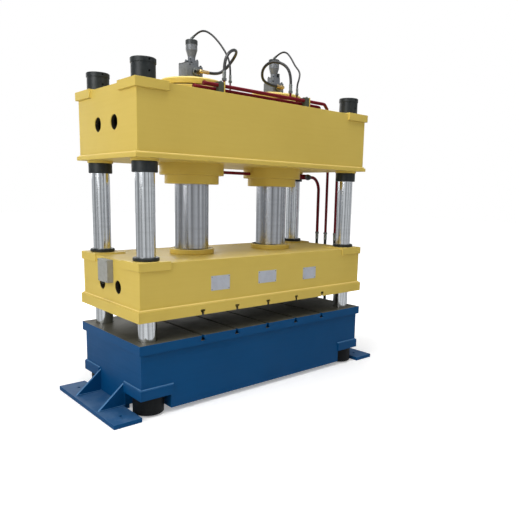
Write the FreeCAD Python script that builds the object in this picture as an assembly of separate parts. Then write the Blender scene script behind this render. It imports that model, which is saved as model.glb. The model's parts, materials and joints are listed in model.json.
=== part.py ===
"""Four-column hydraulic press with two cylinders. Millimetres, +Z up, +X along the long side.

The origin is on the floor under the middle of the press, and the front faces -Y. Each function
below makes one piece. The slide is drawn where it stands at rest.
"""
import FreeCAD, Part
import math
import os

Vector = FreeCAD.Vector

# Welded bodies: bed, slide and crown share one outline
BODY_LENGTH = 2200.0
BODY_DEPTH = 884.0
END_WALL = 30.0
SIDE_WALL = 25.0
RIB = 20.0
END_BAY = 240.0
SPINE_Y = 190.0
PLATE_OVERHANG = 19.0

# Columns
COLUMN_INSET_X = 107.0
COLUMN_INSET_Y = 105.0
COLUMN_RADIUS = 65.0
NECK_RADIUS = 55.0
HOLE_CLEARANCE = 2.0
THREAD_CLEARANCE = 0.2
RUNNING_CLEARANCE = 0.1
SEAT_CLEARANCE = 0.5
EDGE = 4.0

# Heights, from the floor upwards
BED_GROUND_GAP = 32.0
BED_HEIGHT = 422.0
BED_BASE = 25.0
BED_DECK = 30.0
TABLE_THICKNESS = 67.0
DAYLIGHT = 152.0
PLATEN_THICKNESS = 75.0
SLIDE_HEIGHT = 314.0
SLIDE_BASE = 30.0
SLIDE_DECK = 50.0
OPEN_HEIGHT = 1224.0
CROWN_HEIGHT = 477.0
CROWN_BASE = 28.0
CROWN_DECK = 25.0

# T-slots, cut front to rear
SLOT_COUNT = 5
SLOT_PITCH = 308.0
SLOT_WIDTH = 22.0
SLOT_LIP = 22.0
SLOT_HEAD_WIDTH = 38.0
SLOT_HEAD_HEIGHT = 16.0

# Corner seats in the bed, and corner pads on slide and crown
SEAT_OVERHANG = 13.0
SEAT_LENGTH = 251.0
SEAT_DEPTH = 255.0
SEAT_THICKNESS = 71.0
SEAT_HEIGHT = 103.0
NOTCH_INSET = 10.0
PAD_LENGTH = 243.0
PAD_DEPTH = 245.0
CROWN_PAD_OVERHANG = 18.0
CROWN_PAD_THICKNESS = 60.0
CROWN_PAD_RISE = 8.0
SLIDE_PAD_OVERHANG = 11.0
SLIDE_PAD_THICKNESS = 60.0
SLIDE_PAD_RISE = 10.0
SLEEVE_WALL = 28.0
GUIDE_SLEEVE_WALL = 20.0

# Hand holes in the end walls of slide and crown
HAND_HOLE_Y = 125.0
CROWN_HOLE_RADIUS = 50.0
CROWN_HOLE_DROP = 241.0
SLIDE_HOLE_RADIUS = 47.0
SLIDE_HOLE_DROP = 192.0

# Column nuts
TOP_NUT_RADIUS = 79.0
TOP_NUT_HEIGHT = 135.0
TOP_COLLAR_RADIUS = 83.0
TOP_COLLAR_HEIGHT = 32.0
SPANNER_HOLE_RADIUS = 7.0
SPANNER_HOLE_DEPTH = 12.0
COLUMN_END_INSET = 12.0
CENTRE_RADIUS = 14.0
CENTRE_DEPTH = 22.0
LOCK_NUT_RADIUS = 85.0
LOCK_NUT_HEIGHT = 73.0
LOCK_BOSS_RADIUS = 92.0
LOCK_BOSS_HEIGHT = 17.0
BASE_NUT_RADIUS = 108.0
BASE_NUT_HEIGHT = 123.0

# Feet
FOOT_GAP = 11.0
FOOT_LENGTH = 202.0
FOOT_DEPTH = 940.0
TONGUE_REACH = 40.0
GUSSET_THICKNESS = 18.0
GUSSET_HEIGHT = 168.0
GUSSET_END_GAP = 16.0
ANCHOR_INSET_X = 105.0
ANCHOR_SPACING_Y = 700.0
ANCHOR_HOLE_RADIUS = 11.0

# Cylinders
CYLINDER_SPACING = 820.0
BORE_RADIUS = 150.0
BARREL_RADIUS = 190.0
BARREL_CLEARANCE = 1.0
FLANGE_RADIUS = 246.0
FLANGE_THICKNESS = 85.0
CYLINDER_NUT_RADIUS = 240.0
CYLINDER_NUT_HEIGHT = 70.0
HEAD_GAP = 8.0
HEAD_RADIUS = 240.0
HEAD_THICKNESS = 45.0
HEAD_EDGE = 10.0
HUB_RADIUS = 112.0
HUB_FLARE = 14.0
HUB_HEIGHT = 25.0
HEAD_SPIGOT = 16.0
HEAD_PORT_RADIUS = 45.0
STROKE_DOWN = 100.0
STROKE_UP = 400.0
END_GAP = 4.0
GLAND_RADIUS = 207.0
GLAND_THICKNESS = 66.0
GLAND_SPIGOT = 20.0
SEAL_DEPTH = 9.0
SEAL_HEIGHT = 24.0

# Rams
RAM_RADIUS = 130.0
PISTON_RING_HEIGHT = 30.0
PISTON_RING_DEPTH = 8.0
RAM_FOOT_RADIUS = 142.0
RAM_FOOT_HEIGHT = 20.0
RAM_FLANGE_RADIUS = 172.0
RAM_FLANGE_HEIGHT = 38.0
RAM_PILLAR_WALL = 50.0

# Guide bushes and wiper rings
BUSH_WALL = 15.0
WIPER_RADIUS = 89.0
WIPER_HEIGHT = 24.0

# Cap screws
SCREW_COUNT = 8
SCREW_RADIUS = 8.0
SCREW_HEAD_RADIUS = 13.0
SCREW_HEAD_HEIGHT = 16.0
SCREW_GRIP = 28.0
GLAND_SCREW_CIRCLE = 182.0
HEAD_SCREW_CIRCLE = 170.0
RAM_SCREW_CIRCLE = 157.0
RAM_SCREW_RADIUS = 6.0
RAM_SCREW_HEAD_RADIUS = 10.0
RAM_SCREW_HEAD_HEIGHT = 12.0

# Prefill valves
VALVE_SIDE = 120.0
VALVE_HEIGHT = 85.0
VALVE_TOP_SIDE = 76.0
VALVE_TOP_HEIGHT = 45.0
VALVE_RECESS_RADIUS = 42.0
VALVE_RECESS_HEIGHT = 18.0
VALVE_SEAT_RADIUS = 26.0
VALVE_SEAT_HEIGHT = 10.0
VALVE_CHAMBER_RADIUS = 34.0
VALVE_CHAMBER_HEIGHT = 38.0
VALVE_SCREW_INSET = 12.0
VALVE_SCREW_RADIUS = 5.0
VALVE_SCREW_HEAD_RADIUS = 8.0
VALVE_SCREW_HEAD_HEIGHT = 10.0
PORT_OFFSET = 12.0
PORT_HEIGHT = 42.0
PORT_RADIUS = 9.0
POPPET_RADIUS = 34.0
POPPET_THICKNESS = 8.0
STEM_RADIUS = 8.0
PILOT_NECK_RADIUS = 28.0
PILOT_NECK_HEIGHT = 24.0
PILOT_RADIUS = 43.0
PILOT_FLARE_HEIGHT = 50.0
PILOT_CUP_HEIGHT = 38.0
PILOT_BORE_RADIUS = 30.0
PILOT_PISTON_HEIGHT = 12.0
PILOT_CAP_RADIUS = 45.0
PILOT_CAP_HEIGHT = 33.0
PILOT_CAP_LID = 10.0
SPRING_LENGTH = 36.0
SPRING_INNER_RADIUS = 16.0
SPRING_OUTER_RADIUS = 22.0

# Pipes on the crown and down the right end
HEADER_RADIUS = 13.0
HEADER_END_X = -611.0
HEADER_PLUG_WALL = 4.0
HEADER_PLUG_LENGTH = 14.0
SUPPLY_HEADER_Y = -380.0
SUPPLY_HEADER_RISE = 53.0
SUPPLY_HEADER_END_GAP = 61.0
TURN_SPACING = 77.0
PILOT_HEADER_Y = -350.0
PILOT_HEADER_RISE = 28.0
TURN_GAP = 5.0
ROOF_GAP = 6.0
PIPE_BEND = 55.0
RETURN_RADIUS = 14.5
RETURN_RISE = 14.0
RETURN_BEND = 125.0
CROSSOVER_RADIUS = 12.5
DROP_GAP = 60.0
DROP_END_Z = 1170.0
SUPPLY_DROP_Y = -86.0
PILOT_DROP_Y = 37.0
RETURN_DROP_Y = 150.0
TEE_START = 220.0
TEE_SIDE = 46.0
TEE_PLUG_RADIUS = 13.0
TEE_PLUG_LENGTH = 12.0
UNION_RADIUS = 24.0
UNION_LENGTH = 90.0

# Clamps and the bracket at the right end
CLAMP_X = (-421.0, 425.0)
CLAMP_WIDTH = 46.0
CLAMP_MARGIN = 8.0
BRACKET_HEIGHT = 40.0
BRACKET_DROP = 372.0

# Hose ends
STUB_TOP = 90.0
SUPPLY_STUB_X = (-387.0, 254.0)
SUPPLY_STUB_RADIUS = 9.0
PILOT_STUB_X = (-312.0, 353.0)
PILOT_STUB_RADIUS = 6.0
SUPPLY_HOSE_RADIUS = 11.0
SUPPLY_NUT_LENGTH = 20.0
SUPPLY_FERRULE_LENGTH = 45.0
PILOT_HOSE_RADIUS = 7.0
PILOT_NUT_LENGTH = 16.0
PILOT_FERRULE_LENGTH = 36.0
CAP_STEM_HEIGHT = 12.0
FERRULE_WALL = 2.5
NUT_WALL = 6.0
ELBOW_OUT = 45.0
ELBOW_REACH = 24.0
ELBOW_RADIUS = 14.0
ELBOW_HEX_RADIUS = 21.0
ELBOW_HEX_LENGTH = 14.0
DROP_HOSE_RADIUS = 14.0
DROP_NUT_LENGTH = 20.0
DROP_FERRULE_LENGTH = 50.0

# Junction box on the slide's left end
BOX_OUT = 38.0
BOX_LID = 7.0
BOX_WIDTH = 152.0
BOX_HEIGHT = 159.0
BOX_CENTRE_Y = 14.0
BOX_TOP_DROP = 8.0
BOX_WALL = 3.0

# Places worked out from the sizes above
HALF_LENGTH = BODY_LENGTH / 2
HALF_DEPTH = BODY_DEPTH / 2
COLUMN_X = HALF_LENGTH - COLUMN_INSET_X
COLUMN_Y = HALF_DEPTH - COLUMN_INSET_Y
BED_TOP = BED_GROUND_GAP + BED_HEIGHT
TABLE_TOP = BED_TOP + TABLE_THICKNESS
PLATEN_Z = TABLE_TOP + DAYLIGHT
SLIDE_Z = PLATEN_Z + PLATEN_THICKNESS
SLIDE_TOP = SLIDE_Z + SLIDE_HEIGHT
CROWN_Z = TABLE_TOP + OPEN_HEIGHT
CROWN_TOP = CROWN_Z + CROWN_HEIGHT
SEAT_Z = BED_GROUND_GAP + SEAT_HEIGHT
CROWN_PAD_TOP = CROWN_TOP + CROWN_PAD_RISE
SLIDE_PAD_TOP = SLIDE_TOP + SLIDE_PAD_RISE
NECK_HOLE_RADIUS = NECK_RADIUS + HOLE_CLEARANCE
BUSH_RADIUS = COLUMN_RADIUS + BUSH_WALL
CYLINDER_X = CYLINDER_SPACING / 2
FLANGE_Z = CROWN_Z - FLANGE_THICKNESS
GLAND_Z = FLANGE_Z - GLAND_THICKNESS
CHAMBER_Z = FLANGE_Z + GLAND_SPIGOT
PISTON_Z = CHAMBER_Z + END_GAP + STROKE_DOWN
BARREL_TOP = CROWN_TOP + CYLINDER_NUT_HEIGHT + HEAD_GAP
PISTON_TOP = BARREL_TOP - HEAD_SPIGOT - END_GAP - STROKE_UP
HEAD_Z = BARREL_TOP + HEAD_THICKNESS
VALVE_Z = HEAD_Z + HUB_HEIGHT
VALVE_SEAT_Z = VALVE_Z + VALVE_RECESS_HEIGHT
VALVE_TOP = VALVE_Z + VALVE_HEIGHT + VALVE_TOP_HEIGHT
PILOT_FLOOR = VALVE_TOP + PILOT_NECK_HEIGHT + PILOT_FLARE_HEIGHT
PILOT_TOP = PILOT_FLOOR + PILOT_CUP_HEIGHT
CAP_TOP = PILOT_TOP + PILOT_CAP_HEIGHT
RETURN_Z = CHAMBER_Z + RETURN_RISE
RAM_FOOT_Z = SLIDE_TOP - RAM_FOOT_HEIGHT
DROP_X = HALF_LENGTH + DROP_GAP
PILOT_TURN_X = CYLINDER_X + CYLINDER_NUT_RADIUS + HEADER_RADIUS + TURN_GAP
SUPPLY_TURN_X = PILOT_TURN_X + TURN_SPACING
SUPPLY_HEADER_Z = CROWN_TOP + SUPPLY_HEADER_RISE
PILOT_HEADER_Z = CROWN_TOP + PILOT_HEADER_RISE
STUB_TOP_Z = CROWN_TOP + STUB_TOP
BRACKET_Z = CROWN_TOP - BRACKET_DROP
RETURN_REACH = math.hypot(DROP_X - CYLINDER_X, RETURN_DROP_Y)
RETURN_HEADING = Vector((DROP_X - CYLINDER_X) / RETURN_REACH, RETURN_DROP_Y / RETURN_REACH, 0)
TEE_DISTANCE = FLANGE_RADIUS + TEE_START
UNION_END = TEE_DISTANCE + TEE_SIDE + UNION_LENGTH

UP = Vector(0, 0, 1)
DOWN = Vector(0, 0, -1)
SIDES = (("left", -1), ("right", 1))
CORNERS = (("front_left", -1, -1), ("front_right", 1, -1), ("rear_left", -1, 1), ("rear_right", 1, 1))

# Hose routes, chosen by hand. Each ends at the fitting that holds it.
SUPPLY_HOSE_LEFT = [
    (-329, -105, 2412), (-246, -105, 2412), (-168, -104, 2466), (-134, -150, 2534), (-162, -230, 2568),
    (-244, -304, 2560), (-338, -360, 2512), (-387, -380, 2436), (-387, -380, 2377),
]
SUPPLY_HOSE_RIGHT = [
    (353, -105, 2412), (266, -105, 2412), (176, -120, 2442), (138, -176, 2514), (168, -256, 2560),
    (232, -336, 2530), (254, -380, 2453), (254, -380, 2377),
]
PILOT_HOSE_LEFT = [
    (-402, -19, 2671), (-386, -57, 2699), (-364, -112, 2702), (-340, -176, 2660), (-318, -250, 2582),
    (-306, -314, 2496), (-312, -350, 2424), (-312, -350, 2364),
]
PILOT_HOSE_RIGHT = [
    (413, -20, 2668), (420.5, -70, 2695.5), (430, -130, 2690), (424, -196, 2630), (406, -262, 2558),
    (404, -326, 2500), (372, -350, 2436), (353, -350, 2394), (353, -350, 2364),
]
DROP_HOSE_RETURN = [
    (1160, 150, 1100), (1160, 150, 1010), (1184, 153, 860), (1196, 150, 700),
    (1182, 146, 520), (1178, 150, 320), (1178, 150, 130),
]
DROP_HOSE_PILOT = [
    (1160, 37, 1100), (1160, 37, 980), (1168, 35, 800), (1184, 38, 600),
    (1186, 36, 400), (1176, 34, 260), (1176, 34, 130),
]
DROP_HOSE_SUPPLY = [
    (1160, -86, 1100), (1160, -86, 1000), (1172, -83, 840), (1190, -87, 680),
    (1192, -89, 500), (1178, -90, 310), (1178, -90, 130),
]


# Shapes used throughout

def block(x0, x1, y0, y1, z0, z1):
    low = Vector(min(x0, x1), min(y0, y1), min(z0, z1))
    return Part.makeBox(abs(x1 - x0), abs(y1 - y0), abs(z1 - z0), low)


def rod(radius, z0, z1, x=0.0, y=0.0):
    return Part.makeCylinder(radius, z1 - z0, Vector(x, y, z0))


def bar(radius, start, direction, length):
    return Part.makeCylinder(radius, length, start, direction)


def turned(profile, x, y=0.0):
    """Turn a closed (radius, height) outline about the vertical axis at x, y."""
    points = [Vector(x + radius, y, z) for radius, z in profile]
    face = Part.Face(Part.makePolygon(points + points[:1]))
    return face.revolve(Vector(x, y, 0), UP, 360)


def ring(outer, inner, z0, z1, x, y=0.0, edge=0.0):
    """A ring whose two outer edges are chamfered by edge."""
    outline = [(outer, z0), (outer, z1)]
    if edge > 0:
        outline = [(outer - edge, z0), (outer, z0 + edge), (outer, z1 - edge), (outer - edge, z1)]
    return turned([(inner, z0)] + outline + [(inner, z1)], x, y)


def hexagon(radius, start, direction, length):
    """A hexagonal bar; radius is to its corners."""
    across = direction.cross(UP) if abs(direction.z) < 0.9 else Vector(1, 0, 0)
    across.normalize()
    other = direction.cross(across)
    points = []
    for index in range(6):
        turn = math.radians(60 * index)
        points.append(start + across * (radius * math.cos(turn)) + other * (radius * math.sin(turn)))
    face = Part.Face(Part.makePolygon(points + points[:1]))
    return face.extrude(direction * length)


def fuse(shapes):
    return shapes[0].multiFuse(shapes[1:]).removeSplitter()


def save(name, shapes):
    shape = shapes if isinstance(shapes, Part.Shape) else Part.makeCompound(shapes)
    shape.exportStep("parts/" + name + ".step")


def on_corners(make):
    """Call make(x, y) at the four columns."""
    return [make(side * COLUMN_X, face * COLUMN_Y) for _, side, face in CORNERS]


def on_circle(radius, x):
    """Screw places round a cylinder's axis."""
    turns = [2 * math.pi * (index + 0.5) / SCREW_COUNT for index in range(SCREW_COUNT)]
    return [(x + radius * math.cos(turn), radius * math.sin(turn)) for turn in turns]


def tube_path(points, bends):
    """A wire of straight runs joined by tangent arcs, one bend radius for each inner point."""
    edges = []
    start = points[0]
    for before, corner, after, radius in zip(points, points[1:], points[2:], bends):
        come = (corner - before).normalize()
        go = (after - corner).normalize()
        turn = come.getAngle(go)
        setback = radius * math.tan(turn / 2)
        first = corner - come * setback
        last = corner + go * setback
        inward = (go - come).normalize()
        middle = corner + inward * (radius / math.cos(turn / 2) - radius)
        edges.append(Part.LineSegment(start, first).toShape())
        edges.append(Part.Arc(first, middle, last).toShape())
        start = last
    edges.append(Part.LineSegment(start, points[-1]).toShape())
    return Part.Wire(edges)


def swept(points, bends, radius):
    """A round bar along the path."""
    path = tube_path(points, bends)
    direction = points[1] - points[0]
    section = Part.Wire(Part.makeCircle(radius, points[0], direction))
    return path.makePipeShell([section], True, False)


def pipe(points, bend, radius):
    return swept(points, [bend] * (len(points) - 2), radius)


def hose(name, route, radius):
    """A hose through hand-chosen points, each bend as wide as its two runs allow."""
    points = [Vector(*place) for place in route]
    bends = []
    for before, corner, after in zip(points, points[1:], points[2:]):
        come = corner - before
        go = after - corner
        turn = come.getAngle(go)
        bends.append(0.45 * min(come.Length, go.Length) / math.tan(turn / 2))
    solid = swept(points, bends, radius)
    length = tube_path(points, bends).Length
    share = solid.Volume / (math.pi * radius ** 2 * length)
    print(name, "bends", [round(bend) for bend in bends], "volume over section times length", round(share, 4))
    return solid


# Welded frames

def rib_lines(places, half, wall):
    """Stretches of steel across a body: its two walls and a rib at each place."""
    ribs = [(place - RIB / 2, place + RIB / 2) for place in places]
    return [(-half, -half + wall)] + ribs + [(half - wall, half)]


def cells(lines_x, lines_y, z0, z1):
    """The empty bays between ribs."""
    bays = []
    for left, right in zip(lines_x, lines_x[1:]):
        for front, rear in zip(lines_y, lines_y[1:]):
            bays.append(block(left[1], right[0], front[1], rear[0], z0, z1))
    return bays


def corner_plates(overhang, length, depth, z0, z1):
    plates = []
    for _, side, face in CORNERS:
        x = side * (HALF_LENGTH + overhang)
        y = face * (HALF_DEPTH + overhang)
        plates.append(block(x, x - side * length, y, y - face * depth, z0, z1))
    return plates


def end_holes(radius, z):
    """Two hand holes through each end wall."""
    tools = []
    for side in (-1, 1):
        for face in (-1, 1):
            start = Vector(side * (HALF_LENGTH - 1.5 * END_WALL), face * HAND_HOLE_Y, z)
            tools.append(bar(radius, start, Vector(side, 0, 0), 2 * END_WALL))
    return tools


def slot_cutters(face_z, into):
    """T-slots that open at face_z and are cut in the direction into, +1 or -1."""
    tools = []
    reach = HALF_DEPTH + 2 * PLATE_OVERHANG
    lip = face_z + into * SLOT_LIP
    bottom = lip + into * SLOT_HEAD_HEIGHT
    for index in range(SLOT_COUNT):
        x = (index - (SLOT_COUNT - 1) / 2) * SLOT_PITCH
        tools.append(block(x - SLOT_WIDTH / 2, x + SLOT_WIDTH / 2, -reach, reach, face_z, bottom))
        tools.append(block(x - SLOT_HEAD_WIDTH / 2, x + SLOT_HEAD_WIDTH / 2, -reach, reach, lip, bottom))
    return tools


def overhung_plate(z0, z1):
    return block(-HALF_LENGTH - PLATE_OVERHANG, HALF_LENGTH + PLATE_OVERHANG,
                 -HALF_DEPTH - PLATE_OVERHANG, HALF_DEPTH + PLATE_OVERHANG, z0, z1)


def machined_plate(z0, z1, slot_z, into):
    """Bed table or slide platen: a thick plate with T-slots and four column holes."""
    holes = on_corners(lambda x, y: rod(COLUMN_RADIUS + HOLE_CLEARANCE, z0 - 1, z1 + 1, x, y))
    return overhung_plate(z0, z1).cut(holes + slot_cutters(slot_z, into))


def bed_frame():
    """Welded bed: open notches under four thick corner seats, closed ribbed bays elsewhere."""
    body = block(-HALF_LENGTH, HALF_LENGTH, -HALF_DEPTH, HALF_DEPTH, BED_GROUND_GAP, BED_TOP)
    seat_top = SEAT_Z + SEAT_THICKNESS
    deck_z = BED_TOP - BED_DECK
    notch_x = HALF_LENGTH - (SEAT_LENGTH - SEAT_OVERHANG - NOTCH_INSET)
    notch_y = HALF_DEPTH - (SEAT_DEPTH - SEAT_OVERHANG)
    notches = [block(side * HALF_LENGTH, side * notch_x, face * HALF_DEPTH, face * notch_y,
                     BED_GROUND_GAP, SEAT_Z) for _, side, face in CORNERS]
    rib_x = notch_x - RIB / 2
    rib_y = notch_y - RIB / 2
    lines_x = rib_lines([-rib_x, -CYLINDER_X, 0, CYLINDER_X, rib_x], HALF_LENGTH, END_WALL)
    lines_y = rib_lines([-rib_y, rib_y], HALF_DEPTH, SIDE_WALL)
    bays = []
    for bay in cells(lines_x, lines_y, BED_GROUND_GAP + BED_BASE, deck_z):
        box = bay.BoundBox
        if abs(box.Center.x) > rib_x and abs(box.Center.y) > rib_y:
            bay = block(box.XMin, box.XMax, box.YMin, box.YMax, seat_top, deck_z)
        bays.append(bay)
    seats = corner_plates(SEAT_OVERHANG, SEAT_LENGTH, SEAT_DEPTH, SEAT_Z, seat_top)
    sleeve = NECK_HOLE_RADIUS + SLEEVE_WALL
    sleeves = on_corners(lambda x, y: rod(sleeve, seat_top, deck_z, x, y))
    frame = fuse([body.cut(notches + bays)] + seats + sleeves)
    return frame.cut(on_corners(lambda x, y: rod(NECK_HOLE_RADIUS, SEAT_Z - 1, BED_TOP + 1, x, y)))


def foot(side):
    """Floor plate with a tongue under the bed's end, two gussets and two anchor holes."""
    inner = HALF_LENGTH + FOOT_GAP
    outer = inner + FOOT_LENGTH
    top = BED_GROUND_GAP
    plate = block(side * inner, side * outer, -FOOT_DEPTH / 2, FOOT_DEPTH / 2, 0, top)
    tongue = block(side * (HALF_LENGTH - TONGUE_REACH), side * inner, -SPINE_Y, SPINE_Y, 0, top)
    gussets = []
    for face in (-1, 1):
        y = face * SPINE_Y - GUSSET_THICKNESS / 2
        outline = [Vector(side * HALF_LENGTH, y, top), Vector(side * (outer - GUSSET_END_GAP), y, top),
                   Vector(side * HALF_LENGTH, y, top + GUSSET_HEIGHT)]
        triangle = Part.Face(Part.makePolygon(outline + outline[:1]))
        gussets.append(triangle.extrude(Vector(0, GUSSET_THICKNESS, 0)))
    x = side * (outer - ANCHOR_INSET_X)
    holes = [rod(ANCHOR_HOLE_RADIUS, -1, top + 1, x, face * ANCHOR_SPACING_Y / 2) for face in (-1, 1)]
    return fuse([plate, tongue] + gussets).cut(holes)


def crown_frame():
    """Welded crown: base flange, ribbed bays, corner pads, column posts and cylinder sleeves."""
    body = block(-HALF_LENGTH, HALF_LENGTH, -HALF_DEPTH, HALF_DEPTH, CROWN_Z, CROWN_TOP)
    base_top = CROWN_Z + CROWN_BASE
    deck_z = CROWN_TOP - CROWN_DECK
    sleeve = BARREL_RADIUS + BARREL_CLEARANCE + SLEEVE_WALL
    end_rib = HALF_LENGTH - END_BAY
    places = [-end_rib, -CYLINDER_X - sleeve, -CYLINDER_X + sleeve, 0,
              CYLINDER_X - sleeve, CYLINDER_X + sleeve, end_rib]
    lines_x = rib_lines(places, HALF_LENGTH, END_WALL)
    lines_y = rib_lines([-sleeve, sleeve], HALF_DEPTH, SIDE_WALL)
    shell = body.cut(cells(lines_x, lines_y, base_top, deck_z))
    pads = corner_plates(CROWN_PAD_OVERHANG, PAD_LENGTH, PAD_DEPTH,
                         CROWN_PAD_TOP - CROWN_PAD_THICKNESS, CROWN_PAD_TOP)
    post = NECK_HOLE_RADIUS + SLEEVE_WALL
    boss_z = CROWN_Z - LOCK_BOSS_HEIGHT
    posts = on_corners(lambda x, y: rod(post, base_top, CROWN_PAD_TOP, x, y))
    bosses = on_corners(lambda x, y: rod(LOCK_BOSS_RADIUS, boss_z, CROWN_Z, x, y))
    sleeves = [rod(sleeve, base_top, deck_z, side * CYLINDER_X) for _, side in SIDES]
    frame = fuse([shell, overhung_plate(CROWN_Z, base_top)] + pads + posts + bosses + sleeves)
    cuts = on_corners(lambda x, y: rod(NECK_HOLE_RADIUS, boss_z - 1, CROWN_PAD_TOP + 1, x, y))
    barrel = BARREL_RADIUS + BARREL_CLEARANCE
    cuts += [rod(barrel, CROWN_Z - 1, CROWN_TOP + 1, side * CYLINDER_X) for _, side in SIDES]
    cuts += end_holes(CROWN_HOLE_RADIUS, CROWN_TOP - CROWN_HOLE_DROP)
    return frame.cut(cuts)


def slide_frame():
    """Welded slide: pillars under the rams, corner pads, guide sleeves and hand holes."""
    body = block(-HALF_LENGTH, HALF_LENGTH, -HALF_DEPTH, HALF_DEPTH, SLIDE_Z, SLIDE_TOP)
    base_top = SLIDE_Z + SLIDE_BASE
    deck_z = SLIDE_TOP - SLIDE_DECK
    beside = RAM_FLANGE_RADIUS + RIB
    end_rib = HALF_LENGTH - END_BAY
    places = [-end_rib, -CYLINDER_X - beside, -CYLINDER_X + beside, 0,
              CYLINDER_X - beside, CYLINDER_X + beside, end_rib]
    lines_x = rib_lines(places, HALF_LENGTH, END_WALL)
    lines_y = rib_lines([-SPINE_Y, SPINE_Y], HALF_DEPTH, SIDE_WALL)
    shell = body.cut(cells(lines_x, lines_y, base_top, deck_z))
    pads = corner_plates(SLIDE_PAD_OVERHANG, PAD_LENGTH, PAD_DEPTH,
                         SLIDE_PAD_TOP - SLIDE_PAD_THICKNESS, SLIDE_PAD_TOP)
    sleeve = BUSH_RADIUS + GUIDE_SLEEVE_WALL
    sleeves = on_corners(lambda x, y: rod(sleeve, base_top, SLIDE_TOP, x, y))
    pillar_bore = RAM_FLANGE_RADIUS - RAM_PILLAR_WALL
    pillars = [ring(RAM_FLANGE_RADIUS, pillar_bore, base_top, deck_z, side * CYLINDER_X) for _, side in SIDES]
    frame = fuse([shell] + pads + sleeves + pillars)
    cuts = on_corners(lambda x, y: rod(BUSH_RADIUS, SLIDE_Z - 1, SLIDE_PAD_TOP + 1, x, y))
    cuts += end_holes(SLIDE_HOLE_RADIUS, SLIDE_TOP - SLIDE_HOLE_DROP)
    for _, side in SIDES:
        x = side * CYLINDER_X
        cuts.append(rod(RAM_FOOT_RADIUS + SEAT_CLEARANCE, RAM_FOOT_Z, SLIDE_TOP + 1, x))
        for screw_x, screw_y in on_circle(RAM_SCREW_CIRCLE, x):
            radius = RAM_SCREW_RADIUS + THREAD_CLEARANCE
            cuts.append(rod(radius, SLIDE_TOP - SCREW_GRIP, SLIDE_TOP + 1, screw_x, screw_y))
    return frame.cut(cuts)


# Columns and their nuts

def column(x, y):
    """Ground column with a threaded neck and a centre hole at each end."""
    bottom = SEAT_Z - BASE_NUT_HEIGHT + COLUMN_END_INSET
    shoulder = CROWN_Z - LOCK_BOSS_HEIGHT
    top = CROWN_PAD_TOP + TOP_NUT_HEIGHT - COLUMN_END_INSET
    profile = [(0, bottom + CENTRE_DEPTH), (CENTRE_RADIUS, bottom),
               (NECK_RADIUS - EDGE, bottom), (NECK_RADIUS, bottom + EDGE),
               (NECK_RADIUS, BED_TOP), (COLUMN_RADIUS, BED_TOP), (COLUMN_RADIUS, shoulder),
               (NECK_RADIUS, shoulder), (NECK_RADIUS, top - EDGE), (NECK_RADIUS - EDGE, top),
               (CENTRE_RADIUS, top), (0, top - CENTRE_DEPTH)]
    return turned(profile, x, y)


def top_nut(x, y):
    """Tall round nut with a collar and two spanner holes."""
    bore = NECK_RADIUS + THREAD_CLEARANCE
    z0 = CROWN_PAD_TOP
    z1 = z0 + TOP_NUT_HEIGHT
    collar = z1 - TOP_COLLAR_HEIGHT
    profile = [(bore, z0), (TOP_NUT_RADIUS, z0), (TOP_NUT_RADIUS, collar), (TOP_COLLAR_RADIUS, collar),
               (TOP_COLLAR_RADIUS, z1 - EDGE), (TOP_COLLAR_RADIUS - EDGE, z1), (bore, z1)]
    holes = []
    for radius, z in ((TOP_NUT_RADIUS, (z0 + collar) / 2), (TOP_COLLAR_RADIUS, (collar + z1) / 2)):
        start = Vector(x, y - radius + SPANNER_HOLE_DEPTH, z)
        holes.append(bar(SPANNER_HOLE_RADIUS, start, Vector(0, -1, 0), 2 * SPANNER_HOLE_DEPTH))
    return turned(profile, x, y).cut(holes)


def lock_nut(x, y):
    top = CROWN_Z - LOCK_BOSS_HEIGHT
    return ring(LOCK_NUT_RADIUS, COLUMN_RADIUS + THREAD_CLEARANCE, top - LOCK_NUT_HEIGHT, top, x, y, EDGE)


def base_nut(x, y):
    low = SEAT_Z - BASE_NUT_HEIGHT
    return ring(BASE_NUT_RADIUS, NECK_RADIUS + THREAD_CLEARANCE, low, SEAT_Z, x, y, EDGE)


def guide_bush(x, y):
    return ring(BUSH_RADIUS, COLUMN_RADIUS + RUNNING_CLEARANCE, SLIDE_Z, SLIDE_PAD_TOP, x, y)


def wiper_ring(x, y):
    inner = COLUMN_RADIUS + RUNNING_CLEARANCE
    return ring(WIPER_RADIUS, inner, SLIDE_PAD_TOP, SLIDE_PAD_TOP + WIPER_HEIGHT, x, y, EDGE)


# Cylinders and rams

def cap_screw(x, y, head_z, into, grip, radius, head_radius, head_height):
    """A cap screw whose head starts at head_z, driven in the direction into."""
    direction = UP * into
    head = bar(head_radius, Vector(x, y, head_z), direction, head_height)
    shank = bar(radius, Vector(x, y, head_z), direction, grip)
    return fuse([head, shank])


def screw_holes(circle, x, head_z, into, thickness, radius, head_radius, head_height):
    """Clearance holes with counterbores through a flange of the given thickness."""
    tools = []
    for screw_x, screw_y in on_circle(circle, x):
        face = Vector(screw_x, screw_y, head_z - into)
        tools.append(bar(radius + SEAT_CLEARANCE, face, UP * into, thickness + 2))
        tools.append(bar(head_radius + SEAT_CLEARANCE, face, UP * into, head_height + 1))
    return tools


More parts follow.
